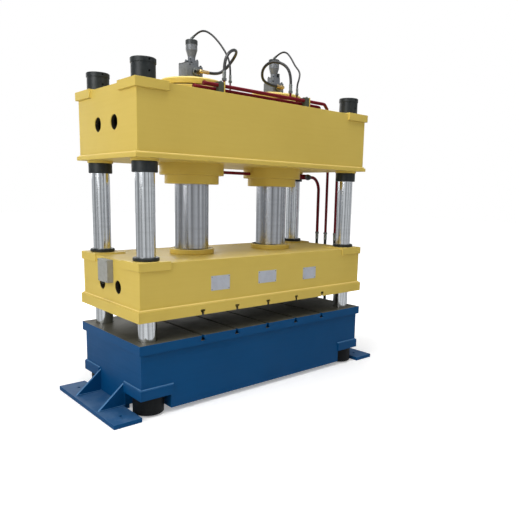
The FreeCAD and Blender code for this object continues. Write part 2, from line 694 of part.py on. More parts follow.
def cylinder(side):
    """Flanged barrel with its return ports and the tapped holes for gland and head."""
    x = side * CYLINDER_X
    profile = [(BORE_RADIUS, FLANGE_Z), (FLANGE_RADIUS - EDGE, FLANGE_Z), (FLANGE_RADIUS, FLANGE_Z + EDGE),
               (FLANGE_RADIUS, CROWN_Z), (BARREL_RADIUS, CROWN_Z), (BARREL_RADIUS, BARREL_TOP),
               (BORE_RADIUS, BARREL_TOP)]
    middle = Vector(x, 0, RETURN_Z)
    cuts = [bar(PORT_RADIUS, middle, Vector(-side, 0, 0), 2 * FLANGE_RADIUS)]
    if side > 0:
        cuts.append(bar(PORT_RADIUS, middle, RETURN_HEADING, 2 * FLANGE_RADIUS))
    tapped = SCREW_RADIUS + THREAD_CLEARANCE
    for screw_x, screw_y in on_circle(GLAND_SCREW_CIRCLE, x):
        cuts.append(rod(tapped, FLANGE_Z - 1, FLANGE_Z + SCREW_GRIP, screw_x, screw_y))
    for screw_x, screw_y in on_circle(HEAD_SCREW_CIRCLE, x):
        cuts.append(rod(tapped, BARREL_TOP - SCREW_GRIP, BARREL_TOP + 1, screw_x, screw_y))
    return turned(profile, x).cut(cuts)


def cylinder_nut(side):
    inner = BARREL_RADIUS + THREAD_CLEARANCE
    top = CROWN_TOP + CYLINDER_NUT_HEIGHT
    return ring(CYLINDER_NUT_RADIUS, inner, CROWN_TOP, top, side * CYLINDER_X, 0, EDGE)


def cylinder_head(side):
    """Cover with a spigot in the bore, a hub for the valve and the prefill port through its middle."""
    spigot = BORE_RADIUS - RUNNING_CLEARANCE
    low = BARREL_TOP - HEAD_SPIGOT
    profile = [(HEAD_PORT_RADIUS, low), (spigot, low), (spigot, BARREL_TOP), (HEAD_RADIUS, BARREL_TOP),
               (HEAD_RADIUS, HEAD_Z - HEAD_EDGE), (HEAD_RADIUS - HEAD_EDGE, HEAD_Z),
               (HUB_RADIUS + HUB_FLARE, HEAD_Z), (HUB_RADIUS, VALVE_Z), (HEAD_PORT_RADIUS, VALVE_Z)]
    x = side * CYLINDER_X
    holes = screw_holes(HEAD_SCREW_CIRCLE, x, HEAD_Z, -1, HEAD_THICKNESS,
                        SCREW_RADIUS, SCREW_HEAD_RADIUS, SCREW_HEAD_HEIGHT)
    return turned(profile, x).cut(holes)


def gland(side):
    """Ring under the cylinder that guides the ram and holds the rod seal."""
    guide = RAM_RADIUS + RUNNING_CLEARANCE
    groove = GLAND_Z + (GLAND_THICKNESS + GLAND_SPIGOT - SEAL_HEIGHT) / 2
    profile = [(guide, GLAND_Z), (GLAND_RADIUS - EDGE, GLAND_Z), (GLAND_RADIUS, GLAND_Z + EDGE),
               (GLAND_RADIUS, FLANGE_Z), (BORE_RADIUS - RUNNING_CLEARANCE, FLANGE_Z),
               (BORE_RADIUS - RUNNING_CLEARANCE, CHAMBER_Z), (guide, CHAMBER_Z),
               (guide, groove + SEAL_HEIGHT), (guide + SEAL_DEPTH, groove + SEAL_HEIGHT),
               (guide + SEAL_DEPTH, groove), (guide, groove)]
    x = side * CYLINDER_X
    holes = screw_holes(GLAND_SCREW_CIRCLE, x, GLAND_Z, 1, GLAND_THICKNESS,
                        SCREW_RADIUS, SCREW_HEAD_RADIUS, SCREW_HEAD_HEIGHT)
    return turned(profile, x).cut(holes)


def rod_seal(side):
    guide = RAM_RADIUS + RUNNING_CLEARANCE
    groove = GLAND_Z + (GLAND_THICKNESS + GLAND_SPIGOT - SEAL_HEIGHT) / 2
    return ring(guide + SEAL_DEPTH, guide, groove, groove + SEAL_HEIGHT, side * CYLINDER_X)


def cylinder_screws():
    """The like screws that hold the two glands and the two heads."""
    screws = []
    for _, side in SIDES:
        x = side * CYLINDER_X
        for place in on_circle(GLAND_SCREW_CIRCLE, x):
            screws.append(cap_screw(*place, GLAND_Z, 1, GLAND_THICKNESS + SCREW_GRIP,
                                    SCREW_RADIUS, SCREW_HEAD_RADIUS, SCREW_HEAD_HEIGHT))
        for place in on_circle(HEAD_SCREW_CIRCLE, x):
            screws.append(cap_screw(*place, HEAD_Z, -1, HEAD_THICKNESS + SCREW_GRIP,
                                    SCREW_RADIUS, SCREW_HEAD_RADIUS, SCREW_HEAD_HEIGHT))
    return screws


def ram(side):
    """Ram with its foot, its piston and the groove for the piston ring."""
    piston = BORE_RADIUS - RUNNING_CLEARANCE
    floor = piston - PISTON_RING_DEPTH
    low = (PISTON_Z + PISTON_TOP - PISTON_RING_HEIGHT) / 2
    high = low + PISTON_RING_HEIGHT
    profile = [(0, RAM_FOOT_Z), (RAM_FOOT_RADIUS, RAM_FOOT_Z), (RAM_FOOT_RADIUS, SLIDE_TOP),
               (RAM_RADIUS, SLIDE_TOP), (RAM_RADIUS, PISTON_Z), (piston, PISTON_Z), (piston, low),
               (floor, low), (floor, high), (piston, high), (piston, PISTON_TOP), (0, PISTON_TOP)]
    return turned(profile, side * CYLINDER_X)


def piston_ring(side):
    outer = BORE_RADIUS - RUNNING_CLEARANCE
    low = (PISTON_Z + PISTON_TOP - PISTON_RING_HEIGHT) / 2
    return ring(outer, outer - PISTON_RING_DEPTH, low, low + PISTON_RING_HEIGHT, side * CYLINDER_X)


def ram_flange(side):
    """Ring that clamps the ram's foot to the slide."""
    top = SLIDE_TOP + RAM_FLANGE_HEIGHT
    inner = RAM_RADIUS + RUNNING_CLEARANCE
    x = side * CYLINDER_X
    holes = screw_holes(RAM_SCREW_CIRCLE, x, top, -1, RAM_FLANGE_HEIGHT,
                        RAM_SCREW_RADIUS, RAM_SCREW_HEAD_RADIUS, RAM_SCREW_HEAD_HEIGHT)
    return ring(RAM_FLANGE_RADIUS, inner, SLIDE_TOP, top, x, 0, EDGE).cut(holes)


def ram_flange_screws():
    screws = []
    for _, side in SIDES:
        for place in on_circle(RAM_SCREW_CIRCLE, side * CYLINDER_X):
            screws.append(cap_screw(*place, SLIDE_TOP + RAM_FLANGE_HEIGHT, -1, RAM_FLANGE_HEIGHT + SCREW_GRIP,
                                    RAM_SCREW_RADIUS, RAM_SCREW_HEAD_RADIUS, RAM_SCREW_HEAD_HEIGHT))
    return screws


# Prefill valves

def port_place(side):
    """Middle of the supply elbow, in front of the valve block."""
    return Vector(side * CYLINDER_X + PORT_OFFSET, -VALVE_SIDE / 2 - ELBOW_OUT, VALVE_Z + PORT_HEIGHT)


def valve_body(side):
    """Valve block with the poppet seat, the chamber above it and the supply port in front."""
    x = side * CYLINDER_X
    half = VALVE_SIDE / 2
    top_half = VALVE_TOP_SIDE / 2
    step = VALVE_Z + VALVE_HEIGHT
    chamber = VALVE_SEAT_Z + VALVE_SEAT_HEIGHT
    roof = chamber + VALVE_CHAMBER_HEIGHT
    body = fuse([block(x - half, x + half, -half, half, VALVE_Z, step),
                 block(x - top_half, x + top_half, -top_half, top_half, step, VALVE_TOP)])
    cuts = [rod(VALVE_RECESS_RADIUS, VALVE_Z - 1, VALVE_SEAT_Z, x), rod(VALVE_SEAT_RADIUS, VALVE_SEAT_Z, chamber, x),
            rod(VALVE_CHAMBER_RADIUS, chamber, roof, x), rod(STEM_RADIUS + RUNNING_CLEARANCE, roof, VALVE_TOP + 1, x),
            bar(PORT_RADIUS, port_place(side), Vector(0, 1, 0), ELBOW_OUT + half)]
    for screw_x, screw_y in valve_screw_places(side):
        radius = VALVE_SCREW_RADIUS + SEAT_CLEARANCE
        cuts.append(rod(radius, VALVE_Z - 1, step + 1, screw_x, screw_y))
    return body.cut(cuts)


def valve_screw_places(side):
    reach = VALVE_SIDE / 2 - VALVE_SCREW_INSET
    return [(side * CYLINDER_X + step_x * reach, step_y * reach) for step_x in (-1, 1) for step_y in (-1, 1)]


def valve_screws():
    """Screws through the corners of both blocks. They end at the cylinder head's face."""
    screws = []
    head_z = VALVE_Z + VALVE_HEIGHT
    for _, side in SIDES:
        for screw_x, screw_y in valve_screw_places(side):
            head = rod(VALVE_SCREW_HEAD_RADIUS, head_z, head_z + VALVE_SCREW_HEAD_HEIGHT, screw_x, screw_y)
            shank = rod(VALVE_SCREW_RADIUS, VALVE_Z, head_z, screw_x, screw_y)
            screws.append(fuse([head, shank]))
    return screws


def pilot_cylinder(side):
    """Neck that flares into a cup, open at the top, with the stem's guide through its floor."""
    neck_top = VALVE_TOP + PILOT_NECK_HEIGHT
    stem = STEM_RADIUS + RUNNING_CLEARANCE
    profile = [(stem, VALVE_TOP), (PILOT_NECK_RADIUS, VALVE_TOP), (PILOT_NECK_RADIUS, neck_top),
               (PILOT_RADIUS, PILOT_FLOOR), (PILOT_RADIUS, PILOT_TOP), (PILOT_BORE_RADIUS, PILOT_TOP),
               (PILOT_BORE_RADIUS, PILOT_FLOOR), (stem, PILOT_FLOOR)]
    return turned(profile, side * CYLINDER_X)


def pilot_cap(side):
    """Cap ring whose lid has the pilot port through its middle."""
    lid = CAP_TOP - PILOT_CAP_LID
    port = PILOT_STUB_RADIUS
    profile = [(PILOT_BORE_RADIUS, PILOT_TOP), (PILOT_CAP_RADIUS, PILOT_TOP), (PILOT_CAP_RADIUS, CAP_TOP - EDGE),
               (PILOT_CAP_RADIUS - EDGE, CAP_TOP), (port, CAP_TOP), (port, lid), (PILOT_BORE_RADIUS, lid)]
    return turned(profile, side * CYLINDER_X)


def poppet(side):
    """Poppet disc, its stem and the pilot piston that pushes it down."""
    piston = PILOT_BORE_RADIUS - RUNNING_CLEARANCE
    piston_z = PILOT_FLOOR + SPRING_LENGTH
    low = VALVE_SEAT_Z - POPPET_THICKNESS
    profile = [(0, low), (POPPET_RADIUS - EDGE, low), (POPPET_RADIUS, low + EDGE), (POPPET_RADIUS, VALVE_SEAT_Z),
               (STEM_RADIUS, VALVE_SEAT_Z), (STEM_RADIUS, piston_z), (piston, piston_z),
               (piston, piston_z + PILOT_PISTON_HEIGHT), (0, piston_z + PILOT_PISTON_HEIGHT)]
    return turned(profile, side * CYLINDER_X)


def poppet_spring(side):
    top = PILOT_FLOOR + SPRING_LENGTH
    return ring(SPRING_OUTER_RADIUS, SPRING_INNER_RADIUS, PILOT_FLOOR, top, side * CYLINDER_X)


def supply_elbow(side):
    """Elbow from the valve's port that turns to the side, towards the hose."""
    middle = port_place(side)
    face = Vector(middle.x, -VALVE_SIDE / 2, middle.z)
    out = Vector(0, -1, 0)
    aside = Vector(-side, 0, 0)
    return fuse([hexagon(ELBOW_HEX_RADIUS, face, out, ELBOW_HEX_LENGTH), bar(ELBOW_RADIUS, face, out, ELBOW_OUT),
                 Part.makeSphere(ELBOW_RADIUS, middle), bar(ELBOW_RADIUS, middle, aside, ELBOW_REACH)])


# Pipes

def header(y, z, start_x, stub_places, stub_radius, turn_x, drop_y):
    """Pipe along the crown's top, back across it, and down the right end, with its plug and hose stubs."""
    roof = CROWN_TOP + ROOF_GAP + HEADER_RADIUS
    slope_x = turn_x - 2 * (z - roof) - 2 * PIPE_BEND / 3
    points = [Vector(start_x, y, z), Vector(slope_x, y, z), Vector(turn_x, y + PIPE_BEND, roof),
              Vector(turn_x, drop_y, roof), Vector(DROP_X, drop_y, roof), Vector(DROP_X, drop_y, DROP_END_Z)]
    line = pipe(points, PIPE_BEND, HEADER_RADIUS)
    stubs = [rod(stub_radius, z, STUB_TOP_Z, x, y) for x in stub_places]
    plug = hexagon(HEADER_RADIUS + HEADER_PLUG_WALL, points[0], Vector(-1, 0, 0), HEADER_PLUG_LENGTH)
    return fuse([line, plug] + stubs)


def return_pipe():
    """Pipe from the union to the drop line, then down."""
    axis = Vector(CYLINDER_X, 0, RETURN_Z)
    corner = Vector(DROP_X, RETURN_DROP_Y, RETURN_Z)
    points = [axis + RETURN_HEADING * UNION_END, corner, Vector(DROP_X, RETURN_DROP_Y, DROP_END_Z)]
    return pipe(points, RETURN_BEND, RETURN_RADIUS)


def return_tee():
    """Nipple from the right cylinder's flange, tee block with its plug, and union nut."""
    axis = Vector(CYLINDER_X, 0, RETURN_Z)
    across = RETURN_HEADING.cross(UP)
    half = TEE_SIDE / 2
    start = axis + RETURN_HEADING * TEE_DISTANCE
    corners = [start + across * a + UP * b for a, b in ((-half, -half), (half, -half), (half, half), (-half, half))]
    face = Part.Face(Part.makePolygon(corners + corners[:1]))
    cube = face.extrude(RETURN_HEADING * TEE_SIDE)
    nipple = bar(RETURN_RADIUS, axis + RETURN_HEADING * FLANGE_RADIUS, RETURN_HEADING, TEE_START)
    plug = bar(TEE_PLUG_RADIUS, start + RETURN_HEADING * half, across, half + TEE_PLUG_LENGTH)
    union = bar(UNION_RADIUS, start + RETURN_HEADING * TEE_SIDE, RETURN_HEADING, UNION_LENGTH)
    return fuse([cube, nipple, plug, union])


def return_crossover():
    reach = CYLINDER_X - FLANGE_RADIUS
    return bar(CROSSOVER_RADIUS, Vector(-reach, 0, RETURN_Z), Vector(1, 0, 0), 2 * reach)


def pipe_clamp(x):
    """Block on the crown that holds both headers."""
    margin = HEADER_RADIUS + CLAMP_MARGIN
    body = block(x - CLAMP_WIDTH / 2, x + CLAMP_WIDTH / 2, SUPPLY_HEADER_Y - margin, PILOT_HEADER_Y + margin,
                 CROWN_TOP, SUPPLY_HEADER_Z + margin)
    start = x - CLAMP_WIDTH
    holes = [bar(HEADER_RADIUS, Vector(start, y, z), Vector(1, 0, 0), 2 * CLAMP_WIDTH)
             for y, z in ((SUPPLY_HEADER_Y, SUPPLY_HEADER_Z), (PILOT_HEADER_Y, PILOT_HEADER_Z))]
    return body.cut(holes)


def drop_bracket():
    """Block on the crown's right end that holds the two headers' drop lines."""
    margin = HEADER_RADIUS + CLAMP_MARGIN
    top = BRACKET_Z + BRACKET_HEIGHT
    body = block(HALF_LENGTH, DROP_X + margin, SUPPLY_DROP_Y - margin, PILOT_DROP_Y + margin, BRACKET_Z, top)
    holes = [rod(HEADER_RADIUS, BRACKET_Z - 1, top + 1, DROP_X, y) for y in (SUPPLY_DROP_Y, PILOT_DROP_Y)]
    return body.cut(holes)


# Hose ends

def hose_end(end, direction, hose_radius, ferrule_length, nut_length):
    """Crimped ferrule from the hose's end, then a nut, in the given direction."""
    ferrule = bar(hose_radius + FERRULE_WALL, end, direction, ferrule_length)
    nut = hexagon(hose_radius + NUT_WALL, end + direction * ferrule_length, direction, nut_length)
    return fuse([ferrule, nut])


def cap_elbow(side, route):
    """Stem and ball on the pilot cap, with a ferrule that points along the hose's first run."""
    ball = Vector(side * CYLINDER_X, 0, CAP_TOP + CAP_STEM_HEIGHT)
    outward = Vector(*route[0]) - ball
    radius = PILOT_HOSE_RADIUS + FERRULE_WALL
    return fuse([rod(radius, CAP_TOP, ball.z, ball.x), Part.makeSphere(radius, ball),
                 bar(radius, ball, outward, outward.Length)])


def hose_ferrules():
    """Ferrules at both ends of every hose, with the nuts that hold them to the pipes."""
    ends = []
    for route in (SUPPLY_HOSE_LEFT, SUPPLY_HOSE_RIGHT):
        end = Vector(*route[-1])
        end.z = STUB_TOP_Z + SUPPLY_NUT_LENGTH + SUPPLY_FERRULE_LENGTH
        ends.append(hose_end(end, DOWN, SUPPLY_HOSE_RADIUS, SUPPLY_FERRULE_LENGTH, SUPPLY_NUT_LENGTH))
    for route in (PILOT_HOSE_LEFT, PILOT_HOSE_RIGHT):
        end = Vector(*route[-1])
        end.z = STUB_TOP_Z + PILOT_NUT_LENGTH + PILOT_FERRULE_LENGTH
        ends.append(hose_end(end, DOWN, PILOT_HOSE_RADIUS, PILOT_FERRULE_LENGTH, PILOT_NUT_LENGTH))
    for side, route in ((-1, PILOT_HOSE_LEFT), (1, PILOT_HOSE_RIGHT)):
        ends.append(cap_elbow(side, route))
        elbow_end = port_place(side) - Vector(side * ELBOW_REACH, 0, 0)
        aside = Vector(-side, 0, 0)
        ends.append(bar(SUPPLY_HOSE_RADIUS + FERRULE_WALL, elbow_end, aside, SUPPLY_FERRULE_LENGTH))
    for route in (DROP_HOSE_RETURN, DROP_HOSE_PILOT, DROP_HOSE_SUPPLY):
        for end, direction in ((route[0], UP), (route[-1], DOWN)):
            ends.append(hose_end(Vector(*end), direction, DROP_HOSE_RADIUS, DROP_FERRULE_LENGTH, DROP_NUT_LENGTH))
    return ends


# Junction box

def junction_box():
    """Box on the slide's left end, open on its outer side."""
    y0 = BOX_CENTRE_Y - BOX_WIDTH / 2
    y1 = BOX_CENTRE_Y + BOX_WIDTH / 2
    z1 = SLIDE_TOP - BOX_TOP_DROP
    z0 = z1 - BOX_HEIGHT
    outer = -HALF_LENGTH - BOX_OUT
    body = block(outer, -HALF_LENGTH, y0, y1, z0, z1)
    inside = block(outer - 1, -HALF_LENGTH - BOX_WALL, y0 + BOX_WALL, y1 - BOX_WALL, z0 + BOX_WALL, z1 - BOX_WALL)
    return body.cut(inside)


def junction_lid():
    outer = -HALF_LENGTH - BOX_OUT
    z1 = SLIDE_TOP - BOX_TOP_DROP
    return block(outer - BOX_LID, outer, BOX_CENTRE_Y - BOX_WIDTH / 2, BOX_CENTRE_Y + BOX_WIDTH / 2,
                 z1 - BOX_HEIGHT, z1)


def save_frame():
    save("bed_frame", bed_frame())
    save("bed_table", machined_plate(BED_TOP, TABLE_TOP, TABLE_TOP, -1))
    save("crown_frame", crown_frame())
    save("column_top_nuts", on_corners(top_nut))
    save("column_lock_nuts", on_corners(lock_nut))
    save("column_base_nuts", on_corners(base_nut))
    for name, side, face in CORNERS:
        save("column_" + name, column(side * COLUMN_X, face * COLUMN_Y))
    for name, side in SIDES:
        save("foot_" + name, foot(side))


def save_slide():
    save("slide_frame", slide_frame())
    save("slide_platen", machined_plate(PLATEN_Z, SLIDE_Z, PLATEN_Z, 1))
    save("guide_bushes", on_corners(guide_bush))
    save("wiper_rings", on_corners(wiper_ring))
    save("ram_flange_screws", ram_flange_screws())
    save("piston_rings", [piston_ring(side) for _, side in SIDES])
    save("junction_box", junction_box())
    save("junction_lid", junction_lid())
    for name, side in SIDES:
        save("ram_" + name, ram(side))
        save("ram_flange_" + name, ram_flange(side))


def save_cylinders():
    save("cylinder_nuts", [cylinder_nut(side) for _, side in SIDES])
    save("cylinder_screws", cylinder_screws())
    save("rod_seals", [rod_seal(side) for _, side in SIDES])
    save("valve_screws", valve_screws())
    save("supply_elbows", [supply_elbow(side) for _, side in SIDES])
    for name, side in SIDES:
        save("cylinder_" + name, cylinder(side))
        save("cylinder_head_" + name, cylinder_head(side))
        save("gland_" + name, gland(side))
        save("valve_body_" + name, valve_body(side))
        save("pilot_cylinder_" + name, pilot_cylinder(side))
        save("pilot_cap_" + name, pilot_cap(side))
        save("poppet_" + name, poppet(side))
        save("poppet_spring_" + name, poppet_spring(side))


def save_pipes():
    supply_start = HEADER_END_X + SUPPLY_HEADER_END_GAP
    save("supply_header", header(SUPPLY_HEADER_Y, SUPPLY_HEADER_Z, supply_start, SUPPLY_STUB_X,
                                 SUPPLY_STUB_RADIUS, SUPPLY_TURN_X, SUPPLY_DROP_Y))
    save("pilot_header", header(PILOT_HEADER_Y, PILOT_HEADER_Z, HEADER_END_X, PILOT_STUB_X,
                                PILOT_STUB_RADIUS, PILOT_TURN_X, PILOT_DROP_Y))
    save("return_pipe", return_pipe())
    save("return_tee", return_tee())
    save("return_crossover", return_crossover())
    save("pipe_clamps", [pipe_clamp(x) for x in CLAMP_X] + [drop_bracket()])


def save_hoses():
    hoses = (("supply_hose_left", SUPPLY_HOSE_LEFT, SUPPLY_HOSE_RADIUS),
             ("supply_hose_right", SUPPLY_HOSE_RIGHT, SUPPLY_HOSE_RADIUS),
             ("pilot_hose_left", PILOT_HOSE_LEFT, PILOT_HOSE_RADIUS),
             ("pilot_hose_right", PILOT_HOSE_RIGHT, PILOT_HOSE_RADIUS),
             ("drop_hose_return", DROP_HOSE_RETURN, DROP_HOSE_RADIUS),
             ("drop_hose_pilot", DROP_HOSE_PILOT, DROP_HOSE_RADIUS),
             ("drop_hose_supply", DROP_HOSE_SUPPLY, DROP_HOSE_RADIUS))
    for name, route, radius in hoses:
        save(name, hose(name, route, radius))
    save("hose_ferrules", hose_ferrules())


os.makedirs("parts", exist_ok=True)
save_frame()
save_slide()
save_cylinders()
save_pipes()
save_hoses()
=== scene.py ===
import json
import math

import bpy
from mathutils import Matrix, Vector

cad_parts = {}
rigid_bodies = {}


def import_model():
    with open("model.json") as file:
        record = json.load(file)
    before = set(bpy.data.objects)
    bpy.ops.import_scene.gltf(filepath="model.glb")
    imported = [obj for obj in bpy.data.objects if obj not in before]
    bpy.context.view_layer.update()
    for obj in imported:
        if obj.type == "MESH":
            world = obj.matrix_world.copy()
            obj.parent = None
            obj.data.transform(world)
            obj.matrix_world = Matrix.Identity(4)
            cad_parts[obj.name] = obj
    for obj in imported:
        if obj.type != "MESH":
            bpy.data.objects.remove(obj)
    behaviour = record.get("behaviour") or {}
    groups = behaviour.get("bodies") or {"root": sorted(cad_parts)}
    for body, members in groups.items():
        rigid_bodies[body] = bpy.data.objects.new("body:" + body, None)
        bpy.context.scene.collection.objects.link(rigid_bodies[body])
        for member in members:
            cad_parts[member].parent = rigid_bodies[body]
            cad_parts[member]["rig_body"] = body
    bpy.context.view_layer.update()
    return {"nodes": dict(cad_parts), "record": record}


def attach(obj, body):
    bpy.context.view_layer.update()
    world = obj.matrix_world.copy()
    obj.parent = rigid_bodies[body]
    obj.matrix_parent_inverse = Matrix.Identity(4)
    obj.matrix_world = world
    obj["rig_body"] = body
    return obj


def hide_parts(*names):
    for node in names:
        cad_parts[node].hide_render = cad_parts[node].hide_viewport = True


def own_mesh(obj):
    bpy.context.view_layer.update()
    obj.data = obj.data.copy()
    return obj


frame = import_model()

nodes = frame["nodes"]
nodeSlot = {part["node"]: part["material_slot"] for part in frame["record"]["subparts"]}
upward, downward, forward = (0, 0, 1), (0, 0, -1), (0, -1, 0)
print("frame loaded,", len(nodes), "nodes")


def fillRamp(ramp, stops):
    # gives a colour ramp its stops, each a place and a colour
    while len(ramp.elements) < len(stops):
        ramp.elements.new(1)
    for element, (place, colour) in zip(ramp.elements, stops):
        element.position = place
        element.color = (*colour, 1)


class Wire:
    # one output socket of a material's nodes, used in plain expressions
    def __init__(self, finish, socket):
        self.finish = finish
        self.socket = socket

    def join(self, operation, first, second):
        return self.finish.node("ShaderNodeMath", {"operation": operation}, {0: first, 1: second})

    def __add__(self, other):
        return self.join("ADD", self, other)

    def __sub__(self, other):
        return self.join("SUBTRACT", self, other)

    def __rsub__(self, other):
        return self.join("SUBTRACT", other, self)

    def __mul__(self, other):
        return self.join("MULTIPLY", self, other)

    def __gt__(self, other):
        return self.join("GREATER_THAN", self, other)

    __radd__ = __add__
    __rmul__ = __mul__

    def larger(self, other):
        return self.join("MAXIMUM", self, other)

    def size(self):
        return self.join("ABSOLUTE", self, 0)


class Finish:
    # a material in the making; its patterns read Object coordinates, which are metres on the press
    def __init__(self, name, **plain):
        self.material = bpy.data.materials.new(name)
        self.material.use_nodes = True
        self.tree = self.material.node_tree
        self.shader = self.tree.nodes["Principled BSDF"]
        for socketName, value in plain.items():
            self.set(socketName.replace("_", " "), value)

    def put(self, socket, value):
        if isinstance(value, Wire):
            self.tree.links.new(value.socket, socket)
        else:
            socket.default_value = value

    def set(self, socketName, value):
        self.put(self.shader.inputs[socketName], value)

    def node(self, kind, settings=None, sockets=None, output=0):
        made = self.tree.nodes.new(kind)
        for key, value in (settings or {}).items():
            if key == "stops":
                fillRamp(made.color_ramp, value)
            else:
                setattr(made, key, value)
        for key, value in (sockets or {}).items():
            self.put(made.inputs[key], value)
        return Wire(self, made.outputs[output])

    def place(self):
        return self.node("ShaderNodeTexCoord", output="Object")

    def noise(self, scale, detail=2, roughness=0.5, stretch=(1, 1, 1)):
        place = self.node("ShaderNodeMapping", {}, {"Vector": self.place(), "Scale": stretch})
        return self.node("ShaderNodeTexNoise", {}, {
            "Vector": place, "Scale": scale, "Detail": detail, "Roughness": roughness})

    def ramp(self, factor, low, high, start=0, end=1):
        return self.node("ShaderNodeMapRange", {}, {0: factor, 1: low, 2: high, 3: start, 4: end})

    def cloud(self, low, high, start=0, **noise):
        # noise with its range from low to high spread over start to 1
        return self.ramp(self.noise(**noise), low, high, start)

    def colour(self, value):
        return value if isinstance(value, Wire) else (*value, 1)

    def mix(self, factor, first, second):
        # sockets 6 and 7 are the colours to mix, and output 2 is their mix
        return self.node("ShaderNodeMix", {"data_type": "RGBA"},
                         {0: factor, 6: self.colour(first), 7: self.colour(second)}, 2)

    def along(self, axis):
        return self.node("ShaderNodeSeparateXYZ", {}, {0: self.place()}, axis)

    def facing(self, axis):
        normal = self.node("ShaderNodeNewGeometry", output="Normal")
        return self.node("ShaderNodeSeparateXYZ", {}, {0: normal}, axis)

    def bump(self, height, distance, under=None):
        sockets = {"Height": height, "Distance": distance, "Strength": 1}
        if under:
            sockets["Normal"] = under
        return self.node("ShaderNodeBump", {}, sockets)


enamelSet = {
    "patches": {"scale": 1.7, "detail": 4, "low": 0.35, "high": 0.7},
    "streaks": {"scale": 3, "detail": 3, "roughness": 0.6, "stretch": (0.7, 0.7, 16),
                "low": 0.4, "high": 0.75},
    "dust": {"scale": 9, "detail": 5, "roughness": 0.65, "low": 0.42, "high": 0.75, "start": 0.3},
    "lyingFlat": (0.5, 0.8), "notUpright": (0.25, 0.5), "notFlat": (0.96, 0.88),
    "share": {"patches": 0.5, "streaks": 0.16, "dust": 0.6, "rubbedAndHighlight": 0.75},
    "rougher": {"patches": 0.08, "streaks": 0.05, "dust": 0.2},
    "waves": {"scale": 2.6}, "waveDepth": 0.0012,
    "peel": {"scale": 260, "detail": 1}, "peelDepth": 0.00012,
    "sheen": 0.10, "clear": 0.035, "clearRoughness": 0.10,
}


def enamelOn(f, colour, deep, worn, paintedHighlight, roughness):
    # sprayed enamel: orange peel, faint plate waves, dust on what lies flat, and a painted
    # highlight on faces that slope upward, such as rounded edges and bead tops
    share, rougher = enamelSet["share"], enamelSet["rougher"]
    patches = f.cloud(**enamelSet["patches"])
    streaks = f.cloud(**enamelSet["streaks"])
    rise = f.facing("Z")
    dust = f.ramp(rise, *enamelSet["lyingFlat"]) * f.cloud(**enamelSet["dust"])
    # faces that slope upward are mixed towards a lighter colour: a painted highlight
    rubbedAndHighlight = f.ramp(rise, *enamelSet["notUpright"]) * f.ramp(rise, *enamelSet["notFlat"])
    body = f.mix(patches * share["patches"] + streaks * share["streaks"], colour, deep)
    dusty = f.mix(dust * share["dust"], body, worn)
    f.set("Base Color", f.mix(rubbedAndHighlight * share["rubbedAndHighlight"], dusty, paintedHighlight))
    matt = patches * rougher["patches"] + dust * rougher["dust"] + streaks * rougher["streaks"]
    f.set("Roughness", matt + roughness)
    f.set("Specular IOR Level", enamelSet["sheen"])
    f.set("Coat Weight", enamelSet["clear"])
    f.set("Coat Roughness", enamelSet["clearRoughness"])
    plate = f.bump(f.noise(**enamelSet["waves"]), enamelSet["waveDepth"])
    f.set("Normal", f.bump(f.noise(**enamelSet["peel"]), enamelSet["peelDepth"], plate))


# each paint's last colour is a painted highlight for faces that slope upward
yellowSet = {
    "colour": (0.700, 0.525, 0.118), "deep": (0.620, 0.450, 0.090), "worn": (0.710, 0.560, 0.160),
    "paintedHighlight": (0.900, 0.720, 0.270), "roughness": 0.36,
}
blueSet = {
    "colour": (0.002, 0.072, 0.212), "deep": (0.002, 0.056, 0.165), "worn": (0.120, 0.205, 0.330),
    "paintedHighlight": (0.095, 0.240, 0.450), "roughness": 0.38,
}
redSet = {
    "colour": (0.165, 0.007, 0.017), "deep": (0.110, 0.005, 0.011), "worn": (0.20, 0.06, 0.06),
    "paintedHighlight": (0.26, 0.020, 0.035), "roughness": 0.28,
}


def enamel(name, paintSet):
    f = Finish(name)
    enamelOn(f, **paintSet)
    return f


steelSet = {
    "lines": {"scale": 22, "detail": 3, "roughness": 0.6}, "lineDepth": 0.0002,
    "oil": {"scale": 3.1, "detail": 5, "roughness": 0.6, "low": 0.45, "high": 0.68},
    "spots": {"scale": 38, "detail": 4, "roughness": 0.7, "low": 0.62, "high": 0.75},
    "shade": 0.62, "share": {"lines": 0.5, "oil": 0.55, "spots": 0.25},
    "rougher": {"lines": 0.14, "oil": 0.12},
}


def groundSteel(name, colour, stain, roughness, grain):
    # milled or ground steel: fine cutter lines, oily stains and thin rust spots
    f = Finish(name, Metallic=1.0)
    share, rougher = steelSet["share"], steelSet["rougher"]
    lines = f.noise(stretch=grain, **steelSet["lines"])
    oil = f.cloud(**steelSet["oil"])
    spots = f.cloud(**steelSet["spots"])
    body = f.mix(lines * share["lines"], colour, [c * steelSet["shade"] for c in colour])
    f.set("Base Color", f.mix(oil * share["oil"] + spots * share["spots"], body, stain))
    f.set("Roughness", lines * rougher["lines"] + oil * rougher["oil"] + roughness)
    f.set("Normal", f.bump(lines, steelSet["lineDepth"]))
    return f


chromeSet = {
    "wear": {"scale": 30, "detail": 3, "roughness": 0.6, "stretch": (1, 1, 0.06)},
    "rings": {"scale": 5, "detail": 3, "stretch": (0.2, 0.2, 8)},
    "wearRange": (0.35, 0.75), "toneRange": (0.4, 0.8), "filmRange": (0.5, 0.8),
    "tone": 0.35, "shade": 0.7, "rougher": {"wear": 0.10, "film": 0.05}, "depth": 0.00012,
}


